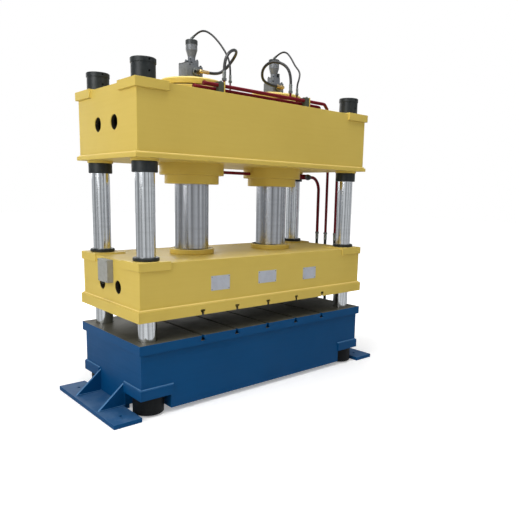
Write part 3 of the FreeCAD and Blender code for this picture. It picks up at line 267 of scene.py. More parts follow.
def chromedRod(name, colour, roughness):
    # hard chrome: bright, faintly waved, with rubbed streaks along the stroke and thin oil rings
    f = Finish(name, Metallic=1.0)
    wear = f.noise(**chromeSet["wear"])
    rings = f.noise(**chromeSet["rings"])
    tone = f.ramp(rings, *chromeSet["toneRange"]) * chromeSet["tone"]
    f.set("Base Color", f.mix(tone, colour, [c * chromeSet["shade"] for c in colour]))
    worn = f.ramp(wear, *chromeSet["wearRange"]) * chromeSet["rougher"]["wear"]
    film = f.ramp(rings, *chromeSet["filmRange"]) * chromeSet["rougher"]["film"]
    f.set("Roughness", worn + film + roughness)
    f.set("Normal", f.bump(wear, chromeSet["depth"]))
    return f


castSet = {
    "mottle": {"detail": 4, "roughness": 0.6, "low": 0.36, "high": 0.68},
    "rubbedAndHighlight": {"detail": 3, "low": 0.45, "high": 0.72}, "rubbedScale": 0.21,
    "grain": {"detail": 3}, "grainScale": 5,
    "share": {"mottle": 0.6, "rubbedAndHighlight": 0.3}, "rougher": 0.12, "smoother": 0.06,
    "clearRoughness": 0.2,
}


def castOrPlated(name, colour, second, metal, roughness, scale, depth, clear=0.0, sheen=0.5):
    # small cast, plated, oxide-black or moulded parts: a mottled tone over a fine grain
    f = Finish(name, Metallic=metal, Specular_IOR_Level=sheen, Coat_Weight=clear,
               Coat_Roughness=castSet["clearRoughness"])
    share = castSet["share"]
    mottle = f.cloud(scale=scale, **castSet["mottle"])
    rubbedAndHighlight = f.cloud(scale=scale * castSet["rubbedScale"], **castSet["rubbedAndHighlight"])
    blend = mottle * share["mottle"] + rubbedAndHighlight * share["rubbedAndHighlight"]
    f.set("Base Color", f.mix(blend, colour, second))
    f.set("Roughness", mottle * castSet["rougher"] - rubbedAndHighlight * castSet["smoother"] + roughness)
    grain = f.noise(scale=scale * castSet["grainScale"], **castSet["grain"])
    f.set("Normal", f.bump(grain, depth))
    return f


rubberSet = {
    "wrap": {"scale": 420}, "wrapDepth": 0.0002,
    "bloom": {"scale": 14, "detail": 4, "low": 0.45, "high": 0.75},
    "share": 0.35, "rougher": 0.18, "clear": 0.08, "clearRoughness": 0.35,
}


def rubberCover(name, colour, dust, roughness):
    # smooth rubber with cloth wrap marks and a little dust
    f = Finish(name, Coat_Weight=rubberSet["clear"], Coat_Roughness=rubberSet["clearRoughness"])
    wrap = f.noise(**rubberSet["wrap"])
    bloom = f.cloud(**rubberSet["bloom"])
    f.set("Base Color", f.mix(bloom * rubberSet["share"], colour, dust))
    f.set("Roughness", bloom * rubberSet["rougher"] + roughness)
    f.set("Normal", f.bump(wrap, rubberSet["wrapDepth"]))
    return f


edgeSet = {
    "reach": (1.1175, 0.4595), "metal": 0.2, "sheen": 0.3, "facingUp": 0.7, "facingDown": -0.2,
}


def edgePainted(name, steel, paintSet, andTop, inSlots):
    # a milled plate with painted edges, a painted top where asked, and overspray in its slots
    f = groundSteel(name, **steel)
    f.set("Metallic", edgeSet["metal"])
    f.set("Specular IOR Level", edgeSet["sheen"])
    bare = Wire(f, f.shader.outputs[0])
    f.shader = f.tree.nodes.new("ShaderNodeBsdfPrincipled")
    enamelOn(f, **paintSet)
    reachX, reachY = edgeSet["reach"]
    top = f.facing("Z") > edgeSet["facingUp"]
    sides = f.facing("Z") > edgeSet["facingDown"]
    edges = (f.along("X").size() > reachX).larger(f.along("Y").size() > reachY)
    edges = edges.larger((f.along("Y").size() > inSlots) * sides * (1 - top))
    if andTop:
        edges = edges.larger(top)
    painted = Wire(f, f.shader.outputs[0])
    both = f.node("ShaderNodeMixShader", {}, {0: edges, 1: bare, 2: painted})
    f.tree.links.new(both.socket, f.tree.nodes["Material Output"].inputs["Surface"])
    return f


# the welded boxes' insides, within these halves and between these heights, get a near-black painted
# shade
hollowSet = {
    "half": (1.094, 0.414), "heights": ((0.775, 1.030), (1.780, 2.192)),
    "insideShade": (0.030, 0.026, 0.018),
}


def hollowPainted(name, paintSet, half, heights, insideShade):
    # enamel outside, and a near-black painted shade on everything inside the welded boxes, the
    # walls of their holes too from a few millimetres in
    f = enamel(name, paintSet)
    painted = Wire(f, f.shader.inputs["Base Color"].links[0].from_socket)
    height = f.along("Z")
    inside = 0
    for low, high in heights:
        inside = (height > low) * (1 - (height > high)) + inside
    inside = inside * (1 - (f.along("X").size() > half[0])) * (1 - (f.along("Y").size() > half[1]))
    f.set("Base Color", f.mix(inside, painted, insideShade))
    return f


tableSteel = {
    "colour": (0.135, 0.126, 0.086), "stain": (0.046, 0.042, 0.028), "roughness": 0.46,
    "grain": (1, 9, 1),
}
castKeys = ("name", "colour", "second", "metal", "roughness", "scale", "depth", "clear", "sheen")
castTable = {
    "black_steel": ("blackOxide", (0.017, 0.021, 0.023), (0.032, 0.037, 0.038),
                    0.15, 0.38, 60, 0.00015, 0.0, 0.3),
    "bronze": ("gunmetalBronze", (0.60, 0.42, 0.20), (0.42, 0.28, 0.13), 1.0, 0.34, 50, 0.0001),
    "brass": ("turnedBrass", (0.72, 0.53, 0.24), (0.55, 0.38, 0.16), 1.0, 0.28, 90, 0.00008),
    "seal_plastic": ("sealPlastic", (0.70, 0.66, 0.55), (0.55, 0.52, 0.42), 0.0, 0.5, 70, 0.0001),
    "valve_grey": ("castGrey", (0.215, 0.230, 0.252), (0.120, 0.132, 0.150),
                   0.25, 0.44, 75, 0.0004, 0.1),
    "cap_grey": ("capGrey", (0.045, 0.052, 0.054), (0.026, 0.030, 0.032),
                 0.3, 0.42, 80, 0.0003, 0.1),
    "valve_steel": ("turnedSteel", (0.50, 0.50, 0.49), (0.36, 0.36, 0.35), 1.0, 0.30, 80, 0.0001),
    "clamp_green": ("clampPlastic", (0.058, 0.070, 0.048), (0.038, 0.046, 0.032),
                    0.0, 0.48, 90, 0.0003),
    "ferrule_steel": ("zincPlate", (0.27, 0.28, 0.27), (0.16, 0.17, 0.16), 1.0, 0.32, 120, 0.0001),
    "box_grey": ("boxGrey", (0.34, 0.34, 0.31), (0.27, 0.27, 0.24), 0.0, 0.42, 40, 0.0003, 0.1),
    # the base nuts get a darker copy of the oxide black: painted shade near the floor
    "shaded base nuts": ("baseNutOxide", (0.005, 0.006, 0.007), (0.010, 0.012, 0.013),
                  0.1, 0.45, 60, 0.00015, 0.0, 0.15),
    "blank plates": ("blankPlate", (0.52, 0.55, 0.62), (0.44, 0.46, 0.52),
                     0.1, 0.34, 26, 0.00004, 0.2),
}
finishes = {key: castOrPlated(**dict(zip(castKeys, row))) for key, row in castTable.items()}
finishes["bed_blue"] = enamel("blueEnamel", blueSet)
finishes["yellow_paint"] = enamel("yellowEnamel", yellowSet)
finishes["pipe_red"] = enamel("redEnamel", redSet)
finishes["machined_steel"] = groundSteel("milledSteel", **tableSteel)
finishes["chrome"] = chromedRod("hardChrome", colour=(0.80, 0.82, 0.84), roughness=0.10)
finishes["hose_rubber"] = rubberCover(
    "hoseRubber", colour=(0.012, 0.012, 0.013), dust=(0.055, 0.053, 0.050), roughness=0.38)


def paint(piece, finish):
    # one finish all over the piece
    piece.data.materials.clear()
    piece.data.materials.append(finish.material)
    if piece.type == "MESH":
        for polygon in piece.data.polygons:
            polygon.material_index = 0


# the rams' chrome is a darker copy of the columns' chrome: painted shade
shadedRamChrome = chromedRod("ramChrome", colour=(0.53, 0.54, 0.565), roughness=0.15)
hollowFinish = hollowPainted("yellowHollow", yellowSet, **hollowSet)
nodeFinish = {nodeName: finishes[slotName] for nodeName, slotName in nodeSlot.items()}
nodeFinish.update({
    "ram_left": shadedRamChrome, "ram_right": shadedRamChrome,
    "crown_frame": hollowFinish, "slide_frame": hollowFinish,
    "bed_table": edgePainted("tableFinish", tableSteel, blueSet, andTop=False, inSlots=0.43),
    "slide_platen": edgePainted("platenFinish", tableSteel, yellowSet, andTop=True, inSlots=0.452),
    "column_base_nuts": finishes["shaded base nuts"],
})
for nodeName, node in nodes.items():
    paint(node, nodeFinish[nodeName])
print("finishes ready,", len(finishes))

# copies of the CAD solids with small rounded edges that catch the light: how wide these are
easedSet = {
    "bed_frame": 0.003, "crown_frame": 0.0035, "slide_frame": 0.0035, "bed_table": 0.0015,
    "slide_platen": 0.0015, "foot_left": 0.003, "foot_right": 0.003, "valve_body_left": 0.002,
    "valve_body_right": 0.002, "pipe_clamps": 0.0015, "junction_box": 0.001,
    "junction_lid": 0.0015, "column_top_nuts": 0.002, "column_lock_nuts": 0.002,
    "column_base_nuts": 0.0025, "wiper_rings": 0.0012, "cylinder_head_left": 0.002,
    "cylinder_head_right": 0.002, "cylinder_nuts": 0.002, "gland_left": 0.0015,
    "gland_right": 0.0015, "ram_flange_left": 0.0015, "ram_flange_right": 0.0015,
    "pilot_cap_left": 0.001, "pilot_cap_right": 0.001, "supply_elbows": 0.0008,
}
oneSegment = ("wiper_rings", "supply_elbows")
mergeGap = 0.00002
flatAngle, edgeAngle, smoothAngle, pieceSmoothAngle = (math.radians(a) for a in (0.6, 50, 32, 35))


def choose(piece):
    # makes one piece the only selected and active one
    bpy.ops.object.select_all(action="DESELECT")
    piece.select_set(True)
    bpy.context.view_layer.objects.active = piece


def switchTo(mode):
    bpy.ops.object.mode_set(mode=mode)


def faceOutwards():
    bpy.ops.mesh.select_all(action="SELECT")
    bpy.ops.mesh.normals_make_consistent(inside=False)
    switchTo("OBJECT")


def addObject(name, data):
    made = bpy.data.objects.new(name, data)
    bpy.context.scene.collection.objects.link(made)
    return made


def dress(piece, finish, body, standsFor):
    # gives a piece its finish and body, and hides the node that it stands for
    paint(piece, finish)
    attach(piece, body)
    if standsFor:
        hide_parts(standsFor)


def easedCopy(nodeName, width, segments):
    # the node's mesh, merged, with its flat faces whole and its edges rounded
    source = nodes[nodeName]
    piece = addObject(nodeName + "_eased", source.data.copy())
    choose(piece)
    switchTo("EDIT")
    bpy.ops.mesh.select_all(action="SELECT")
    bpy.ops.mesh.remove_doubles(threshold=mergeGap)
    bpy.ops.mesh.customdata_custom_splitnormals_clear()
    bpy.ops.mesh.dissolve_limited(angle_limit=flatAngle)
    switchTo("OBJECT")
    ease = piece.modifiers.new("ease", "BEVEL")
    ease.width = width
    ease.segments = segments
    ease.limit_method = "ANGLE"
    ease.angle_limit = edgeAngle
    ease.use_clamp_overlap = False
    ease.miter_outer = "MITER_ARC"
    bpy.ops.object.modifier_apply(modifier="ease")
    bpy.ops.object.shade_smooth_by_angle(angle=smoothAngle)
    level = piece.modifiers.new("level", "WEIGHTED_NORMAL")
    level.keep_sharp = True
    level.weight = 100
    bpy.ops.object.modifier_apply(modifier="level")
    dress(piece, nodeFinish[nodeName], source["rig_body"], nodeName)
    print(nodeName, "eased,", len(piece.data.polygons), "faces")


for nodeName, width in easedSet.items():
    easedCopy(nodeName, width, 1 if nodeName in oneSegment else 2)


def newPiece(name):
    # the primitive just added, with its place moved into its mesh
    piece = bpy.context.object
    piece.name = name
    bpy.ops.object.transform_apply(location=True, rotation=True, scale=True)
    return piece


def turnedPiece(name, profile, sides=24):
    # a disc, extruded and resized from one (radius, height) of its profile to the next
    bpy.ops.object.select_all(action="DESELECT")
    radius, height = profile[0]
    bpy.ops.mesh.primitive_circle_add(vertices=sides, radius=radius, fill_type="NGON",
                                      location=(0, 0, height))
    piece = newPiece(name)
    switchTo("EDIT")
    for nextRadius, nextHeight in profile[1:]:
        lift = (0, 0, nextHeight - height)
        bpy.ops.mesh.extrude_region_move(TRANSFORM_OT_translate={"value": lift})
        growth = nextRadius / radius
        bpy.ops.transform.resize(value=(growth, growth, 1), center_override=(0, 0, nextHeight))
        radius, height = nextRadius, nextHeight
    faceOutwards()
    return piece


def easedBlock(name, low, high, ease, segments=2):
    # a block between two corners, with rounded edges
    bpy.ops.object.select_all(action="DESELECT")
    middle = [(a + b) / 2 for a, b in zip(low, high)]
    size = [b - a for a, b in zip(low, high)]
    bpy.ops.mesh.primitive_cube_add(size=1, location=middle, scale=size)
    piece = newPiece(name)
    switchTo("EDIT")
    bpy.ops.mesh.bevel(offset=ease, segments=segments, affect="EDGES")
    switchTo("OBJECT")
    return piece


nearlyAlong = 0.9


def sinkFaces(piece, heading, leastArea, border, depth):
    # insets the large faces that look along the heading and moves them in
    choose(piece)
    for polygon in piece.data.polygons:
        along = polygon.normal.dot(Vector(heading))
        polygon.select = along > nearlyAlong and polygon.area > leastArea
    switchTo("EDIT")
    bpy.ops.mesh.select_mode(type="FACE")
    bpy.ops.mesh.inset(thickness=border, depth=0)
    bpy.ops.mesh.inset(thickness=depth, depth=-depth)
    switchTo("OBJECT")


def shapedBy(piece, tool, operation="DIFFERENCE"):
    # cuts the piece by a tool, which is then thrown away
    choose(piece)
    cut = piece.modifiers.new("cut", "BOOLEAN")
    cut.operation = operation
    cut.object = tool
    cut.solver = "EXACT"
    bpy.ops.object.modifier_apply(modifier="cut")
    bpy.data.objects.remove(tool)
    return piece


# shares of a screw's head, of a nut's corners, and of a ferrule's radius and length
headSet = {"shoulder": 0.88, "top": 0.92, "floor": 0.4, "beyond": 1.5}
cornerSet = {"slope": 0.12, "face": 0.85, "outside": 1.02}
ferruleSteps = [
    (0.90, 0), (1, 0.04), (1, 0.22), (0.92, 0.26), (0.92, 0.36), (1, 0.40), (1, 0.48),
    (0.92, 0.52), (0.92, 0.62), (1, 0.66), (1, 0.80), (0.84, 0.85), (0.84, 1),
]


def socketScrew(name, shank, grip, head, height, socket):
    # a shank and an eased head with a six-sided socket; the head is seated at height 0
    shoulder, top = (head, height * headSet["shoulder"]), (head * headSet["top"], height)
    piece = turnedPiece(name, [(shank, -grip), (shank, 0), (head, 0), shoulder, top])
    floor, beyond = (socket, height * headSet["floor"]), (socket, height * headSet["beyond"])
    return shapedBy(piece, turnedPiece("socketTool", [floor, beyond], 6))


def hexNut(name, corner, length):
    # six flats, with the corners chamfered at both ends
    piece = turnedPiece(name, [(corner, 0), (corner, length)], 6)
    slope, face, outside = (corner * cornerSet[key] for key in ("slope", "face", "outside"))
    profile = [(face, 0), (outside, slope), (outside, length - slope), (face, length)]
    return shapedBy(piece, turnedPiece("chamferTool", profile, 36), "INTERSECT")


def crimpedFerrule(name, radius, length):
    # a ferrule from the hose's mouth at height 0, with its crimped bands and a neck
    return turnedPiece(name, [(radius * width, length * along) for width, along in ferruleSteps])


def placedCopy(model, place, heading=upward):
    # a copy with its own mesh, set at a place with its height along the heading
    copy = addObject(model.name + "_copy", model.data.copy())
    toward = Vector(heading).to_track_quat("Z", "Y").to_matrix().to_4x4()
    copy.data.transform(Matrix.Translation(place) @ toward)
    return copy


def copies(model, places, heading=upward):
    # a copy at each place; the model itself is thrown away
    made = [placedCopy(model, place, heading) for place in places]
    discard(model)
    return made


def discard(*models):
    for model in models:
        bpy.data.objects.remove(model)


def shifted(place, x):
    return (place[0] + x, *place[1:])


def finishedPiece(parts, name, slotName, body="frame", standsFor=None, finish=None):
    # joins the parts to one piece that is dressed and rides on its body
    choose(parts[0])
    for part in parts[1:]:
        part.select_set(True)
    if len(parts) > 1:
        bpy.ops.object.join()
    piece = parts[0]
    piece.name = name
    bpy.ops.object.shade_smooth_by_angle(angle=pieceSmoothAngle)
    dress(piece, finish or finishes[slotName], body, standsFor)
    return piece


def ring(radius, count):
    # offsets on a circle, from half a step on
    turns = [(index + 0.5) * math.tau / count for index in range(count)]
    return [(radius * math.cos(turn), radius * math.sin(turn)) for turn in turns]


def square(half):
    return [(x, y) for x in (-half, half) for y in (-half, half)]


# socket screws: their sizes, and how they stand round each cylinder's or column's axis
cylinderSides = {"Left": -0.410, "Right": 0.410}
cylinderCentres = [(x, 0) for x in cylinderSides.values()]
columnCentres = [(x, y) for x in (-0.993, 0.993) for y in (-0.337, 0.337)]
screwSet = {
    "cylinder": {"shank": 0.008, "grip": 0.050, "head": 0.013, "height": 0.016, "socket": 0.0075},
    "ramFlange": {"shank": 0.006, "grip": 0.040, "head": 0.010, "height": 0.012, "socket": 0.0056},
    "valve": {"shank": 0.005, "grip": 0.080, "head": 0.008, "height": 0.010, "socket": 0.0045},
    "valveTop": {"shank": 0.004, "grip": 0.020, "head": 0.0065, "height": 0.008, "socket": 0.0036},
    "wiper": {"shank": 0.002, "grip": 0.004, "head": 0.0042, "height": 0.003, "socket": 0.0022},
}
standSet = {
    "head": {"size": "cylinder", "offsets": ring(0.170, 8), "height": 2.329},
    "gland": {"size": "cylinder", "offsets": ring(0.182, 8), "height": 1.610, "heading": downward},
    "ramFlange": {"size": "ramFlange", "offsets": ring(0.157, 8), "height": 1.088},
    "valve": {"size": "valve", "offsets": square(0.048), "height": 2.455},
    "valveTop": {"size": "valveTop", "offsets": square(0.030), "height": 2.500},
    "wiper": {"size": "wiper", "offsets": ring(0.077, 6), "height": 1.096,
              "centres": columnCentres},
}


def standing(size, offsets, height, heading=upward, centres=cylinderCentres):
    places = [(x + dx, y + dy, height) for x, y in centres for dx, dy in offsets]
    return copies(socketScrew("screw", **screwSet[size]), places, heading)


screws = standing(**standSet["head"]) + standing(**standSet["gland"])
finishedPiece(screws, "cylinderCapScrews", "black_steel", standsFor="cylinder_screws")
screws = standing(**standSet["ramFlange"])
finishedPiece(screws, "ramFlangeCapScrews", "black_steel", "slide", "ram_flange_screws")
screws = standing(**standSet["valve"]) + standing(**standSet["valveTop"])
finishedPiece(screws, "valveCapScrews", "black_steel", standsFor="valve_screws")
finishedPiece(standing(**standSet["wiper"]), "wiperCapScrews", "ferrule_steel", "slide")
print("screws ready")

# hoses: what each kind has, at which ends of its route a ferrule and a nut sit, and the routes
hoseKinds = {
    "supply": {"bore": 0.011, "farEnd": "object", "ends": {-1: downward},
               "ferrule": {"radius": 0.0135, "length": 0.045},
               "nut": {"corner": 0.017, "length": 0.020}},
    "pilot": {"bore": 0.007, "farEnd": "object", "ends": {-1: downward},
              "ferrule": {"radius": 0.0095, "length": 0.036},
              "nut": {"corner": 0.013, "length": 0.016}},
    "drop": {"bore": 0.014, "farEnd": "fitting", "ends": {0: upward, -1: downward},
             "ferrule": {"radius": 0.0165, "length": 0.050},
             "nut": {"corner": 0.020, "length": 0.020}},
}
hoseSet = {
    "supply_hose_left": {"kind": "supply", "length": 0.715, "route": [
        (-0.329, -0.105, 2.412), (-0.246, -0.105, 2.412), (-0.168, -0.104, 2.466),
        (-0.134, -0.150, 2.534), (-0.162, -0.230, 2.568), (-0.244, -0.304, 2.560),
        (-0.338, -0.360, 2.512), (-0.387, -0.380, 2.436), (-0.387, -0.380, 2.377)]},
    "supply_hose_right": {"kind": "supply", "length": 0.628, "route": [
        (0.353, -0.105, 2.412), (0.266, -0.105, 2.412), (0.176, -0.120, 2.442),
        (0.138, -0.176, 2.514), (0.168, -0.256, 2.560), (0.232, -0.336, 2.530),
        (0.254, -0.380, 2.453), (0.254, -0.380, 2.377)]},
    "pilot_hose_left": {"kind": "pilot", "length": 0.541, "route": [
        (-0.402, -0.019, 2.671), (-0.386, -0.057, 2.699), (-0.364, -0.112, 2.702),
        (-0.340, -0.176, 2.660), (-0.318, -0.250, 2.582), (-0.306, -0.314, 2.496),
        (-0.312, -0.350, 2.424), (-0.312, -0.350, 2.364)]},
    "pilot_hose_right": {"kind": "pilot", "length": 0.536, "route": [
        (0.413, -0.020, 2.668), (0.4205, -0.070, 2.6955), (0.430, -0.130, 2.690),
        (0.424, -0.196, 2.630), (0.406, -0.262, 2.558), (0.404, -0.326, 2.500),
        (0.372, -0.350, 2.436), (0.353, -0.350, 2.394), (0.353, -0.350, 2.364)]},
    "drop_hose_return": {"kind": "drop", "length": 0.972, "route": [
        (1.160, 0.150, 1.100), (1.160, 0.150, 1.010), (1.184, 0.153, 0.860),
        (1.196, 0.150, 0.700), (1.182, 0.146, 0.520), (1.178, 0.150, 0.320),
        (1.178, 0.150, 0.130)]},
    "drop_hose_pilot": {"kind": "drop", "length": 0.971, "route": [
        (1.160, 0.037, 1.100), (1.160, 0.037, 0.980), (1.168, 0.035, 0.800),
        (1.184, 0.038, 0.600), (1.186, 0.036, 0.400), (1.176, 0.034, 0.260),
        (1.176, 0.034, 0.130)]},
    "drop_hose_supply": {"kind": "drop", "length": 0.972, "route": [
        (1.160, -0.086, 1.100), (1.160, -0.086, 1.000), (1.172, -0.083, 0.840),
        (1.190, -0.087, 0.680), (1.192, -0.089, 0.500), (1.178, -0.090, 0.310),
        (1.178, -0.090, 0.130)]},
}


def hoseEnds(hoseName, kind, route):
    # a crimped ferrule and a chamfered nut at each of the hose's threaded ends
    ferrule = crimpedFerrule("ferrule", **kind["ferrule"])
    nut = hexNut("nut", **kind["nut"])
    parts = []
    for index, heading in kind["ends"].items():
        place = Vector(route[index])
        parts.append(placedCopy(ferrule, place, heading))
        parts.append(placedCopy(nut, place + Vector(heading) * kind["ferrule"]["length"], heading))
    discard(ferrule, nut)
    return finishedPiece(parts, hoseName + "_ends", "ferrule_steel", standsFor="hose_ferrules")


for hoseName, settings in hoseSet.items():
    hoseEnds(hoseName, hoseKinds[settings["kind"]], settings["route"])
ferrule = crimpedFerrule("ferrule", **hoseKinds["supply"]["ferrule"])
parts = [placedCopy(ferrule, hoseSet["supply_hose_left"]["route"][0], (-1, 0, 0)),
         placedCopy(ferrule, hoseSet["supply_hose_right"]["route"][0], (1, 0, 0))]
finishedPiece(parts, "elbowFerrules", "bronze", standsFor="hose_ferrules")
discard(ferrule)

capSet = {
    "seat": 2.645, "base": [(0.0125, 0), (0.0125, 0.006), (0.0085, 0.008), (0.0085, 0.012)],
    "centre": 2.657, "ball": {"segments": 20, "ring_count": 12, "radius": 0.0098},
}


def capElbow(name, axis, exit):
    # hexagon, ball and ferrule on a pilot cap, towards the hose's first run
    ball = Vector((axis, 0, capSet["centre"]))
    bpy.ops.object.select_all(action="DESELECT")
    bpy.ops.mesh.primitive_uv_sphere_add(location=ball, **capSet["ball"])
    knob = newPiece("knob")
    base = turnedPiece("base", capSet["base"], 6)
    radius = hoseKinds["pilot"]["ferrule"]["radius"]
    ferrule = crimpedFerrule("ferrule", radius, (Vector(exit) - ball).length)
    parts = [knob, placedCopy(base, (axis, 0, capSet["seat"])),
             placedCopy(ferrule, exit, ball - Vector(exit))]
    discard(base, ferrule)
    finishedPiece(parts, name, "ferrule_steel", standsFor="hose_ferrules")


for side, axis in cylinderSides.items():
    capElbow("pilotElbow" + side, axis, hoseSet["pilot_hose_" + side.lower()]["route"][0])
print("hose ends ready")

# port flange and plug on the front of each valve block, beside the elbow
portSet = {
    "flange": [(0.0285, 0), (0.0285, 0.015), (0.0265, 0.018), (0.0200, 0.018), (0.0195, 0.016)],
    "flangePlace": (-0.006, -0.059, 2.412),
    "plug": {"shank": 0.006, "grip": 0.012, "head": 0.0105, "height": 0.008, "socket": 0.0062},
    "plugPlace": (-0.020, -0.076, 2.411),
}
for side, axis in cylinderSides.items():
    flange = turnedPiece("flange", portSet["flange"], 36)
    parts = copies(flange, [shifted(portSet["flangePlace"], axis)], forward)
    finishedPiece(parts, "portFlange" + side, "ferrule_steel")
    plug = socketScrew("plug", **portSet["plug"])
    parts = copies(plug, [shifted(portSet["plugPlace"], axis)], forward)
    finishedPiece(parts, "portPlug" + side, "black_steel")

# side block with a black cover on the left valve
sideSet = {
    "block": {"low": (-0.482, -0.052, 2.3765), "high": (-0.434, 0.066, 2.473), "ease": 0.002},
    "cover": {"low": (-0.483, -0.053, 2.4725), "high": (-0.433, 0.067, 2.4785), "ease": 0.001},
    "panel": {"leastArea": 0.001, "border": 0.005, "depth": 0.001},
    "screw": {"shank": 0.003, "grip": 0.005, "head": 0.0052, "height": 0.005, "socket": 0.0028},
    "screwPlaces": [(x, y, 2.4775) for x in (-0.475, -0.441) for y in (-0.045, 0.059)],
}
finishedPiece([easedBlock("sideBlock", **sideSet["block"])], "valveSideBlock", "valve_grey")
cover = easedBlock("cover", **sideSet["cover"])
sinkFaces(cover, upward, **sideSet["panel"])
parts = [cover] + copies(socketScrew("lidScrew", **sideSet["screw"]), sideSet["screwPlaces"])
finishedPiece(parts, "valveSideCover", "black_steel")

# position switch beside the right valve's neck
switchSet = {
    "body": {"low": (0.440, -0.024, 2.490), "high": (0.457, 0.024, 2.538), "ease": 0.002},
    "panel": {"leastArea": 0.0005, "border": 0.004, "depth": 0.0015},
}
switch = easedBlock("switchBody", **switchSet["body"])
sinkFaces(switch, (1, 0, 0), **switchSet["panel"])
finishedPiece([switch], "valveSwitchRight", "cap_grey")
print("valve fittings ready")

# blank plates on the slide's front, each held by four rivets
plateSet = {
    "plateLeft": ((-0.536, -0.368), (0.834, 0.941)),
    "plateMiddle": ((-0.092, 0.092), (0.847, 0.941)),
    "plateRight": ((0.391, 0.540), (0.836, 0.934)),
}
plateShape = {"front": -0.4437, "back": -0.4415, "ease": 0.0006}
platePanel = {"leastArea": 0.005, "border": 0.006, "depth": 0.0004}
rivetSet = {"inset": 0.008, "seat": -0.4435, "profile": [
    (0.0045, 0), (0.0045, 0.0008), (0.0038, 0.0018), (0.0024, 0.0026), (0.0008, 0.0029)]}
for plateName, ((x0, x1), (z0, z1)) in plateSet.items():
    low, high = (x0, plateShape["front"], z0), (x1, plateShape["back"], z1)
    plate = easedBlock(plateName, low, high, plateShape["ease"], 1)
    sinkFaces(plate, forward, **platePanel)
    finishedPiece([plate], plateName, "box_grey", "slide", finish=finishes["blank plates"])
    inset, seat = rivetSet["inset"], rivetSet["seat"]
    places = [(x, seat, z) for x in (x0 + inset, x1 - inset) for z in (z0 + inset, z1 - inset)]
    rivets = copies(turnedPiece("rivet", rivetSet["profile"], 16), places, forward)
    finishedPiece(rivets, plateName + "Rivets", "ferrule_steel", "slide")
print("plates ready")

# lid screws and cable gland of the junction box
boxSet = {
    "screw": {"shank": 0.002, "grip": 0.003, "head": 0.0042, "height": 0.0028, "socket": 0.0021},
    "screwPlaces": [(-1.145, y, z) for y in (-0.053, 0.081) for z in (0.904, 1.045)],
    "nut": {"corner": 0.014, "length": 0.008}, "nutPlace": (-1.120, 0.060, 0.895),
    "dome": [(0.0115, 0), (0.0115, 0.006), (0.009, 0.013), (0.0055, 0.015), (0.0050, 0.010)],
    "domePlace": (-1.120, 0.060, 0.887),
}
screws = copies(socketScrew("lidScrew", **boxSet["screw"]), boxSet["screwPlaces"], (-1, 0, 0))
finishedPiece(screws, "lidScrews", "ferrule_steel", "slide")
parts = copies(hexNut("nut", **boxSet["nut"]), [boxSet["nutPlace"]], downward)
parts += copies(turnedPiece("dome", boxSet["dome"]), [boxSet["domePlace"]], downward)
finishedPiece(parts, "boxGland", "black_steel", "slide")

# pipe clamps: a cover plate with two bolts, and a painted end plate that the pipes pass through
clampSet = {"clampLeft": -0.421, "clampRight": 0.425}
clampShape = {
    "cover": ((-0.022, -0.399, 2.2955), (0.017, -0.331, 2.2990)), "coverEase": 0.0008,
    "end": ((0.018, -0.405, 2.2222), (0.0255, -0.325, 2.3005)), "endEase": 0.0012,
    "bolt": {"corner": 0.0085, "length": 0.0065},
    "boltPlaces": [(-0.003, -0.392, 2.2985), (-0.003, -0.3585, 2.2985)],
    "bore": [(0.0140, 0), (0.0140, 0.1)],
    "borePlaces": [(-0.04, -0.380, 2.275), (-0.04, -0.350, 2.250)],
}
aside = Matrix.Rotation(math.pi / 2, 4, "Y")
for clampName, x in clampSet.items():
    low, high = (shifted(corner, x) for corner in clampShape["cover"])
    cover = easedBlock("cover", low, high, clampShape["coverEase"], 1)
    places = [shifted(place, x) for place in clampShape["boltPlaces"]]
    parts = [cover] + copies(hexNut("bolt", **clampShape["bolt"]), places)
    finishedPiece(parts, clampName + "Cover", "ferrule_steel")
    low, high = (shifted(corner, x) for corner in clampShape["end"])
    endPlate = easedBlock("endPlate", low, high, clampShape["endEase"])
    for place in clampShape["borePlaces"]:
        tool = turnedPiece("bore", clampShape["bore"], 32)
        tool.data.transform(Matrix.Translation(shifted(place, x)) @ aside)
        shapedBy(endPlate, tool)
    finishedPiece([endPlate], clampName + "End", "yellow_paint")
print("clamps ready")

# return tee: red nipple and block, bright plug, black union; heights run away from the cylinder
teeSet = {
    "axis": (0.410, 0, 1.694), "away": (0.750, 0.150, 0),
    "nipple": [(0.0145, 0.246), (0.0145, 0.452), (0.0185, 0.454), (0.0185, 0.467)],
    "block": {"low": (-0.023, -0.023, 0.466), "high": (0.023, 0.023, 0.512), "ease": 0.003,
              "segments": 3},
    "plug": {"shank": 0.009, "grip": 0.005, "head": 0.0135, "height": 0.012, "socket": 0.0072},
    "plugAway": 0.489, "plugAcross": 0.023,
    "sleeve": [(0.0180, 0.512), (0.0180, 0.520), (0.0225, 0.522), (0.0225, 0.545),
               (0.0240, 0.547), (0.0240, 0.590), (0.0200, 0.596), (0.0165, 0.602)],
    "nut": {"corner": 0.0275, "length": 0.034}, "nutAway": 0.550,
}
axis = Vector(teeSet["axis"])
away = Vector(teeSet["away"]).normalized()
across = away.cross(Vector(upward))
parts = copies(turnedPiece("nipple", teeSet["nipple"], 28), [axis], away)
parts += copies(easedBlock("block", **teeSet["block"]), [axis], away)
finishedPiece(parts, "teeBlock", "pipe_red", standsFor="return_tee")
place = axis + away * teeSet["plugAway"] + across * teeSet["plugAcross"]
parts = copies(socketScrew("plug", **teeSet["plug"]), [place], across)
finishedPiece(parts, "teePlug", "ferrule_steel", standsFor="return_tee")
parts = copies(turnedPiece("sleeve", teeSet["sleeve"], 36), [axis], away)
parts += copies(hexNut("nut", **teeSet["nut"]), [axis + away * teeSet["nutAway"]], away)
finishedPiece(parts, "teeUnion", "black_steel", standsFor="return_tee")
print("return tee ready")

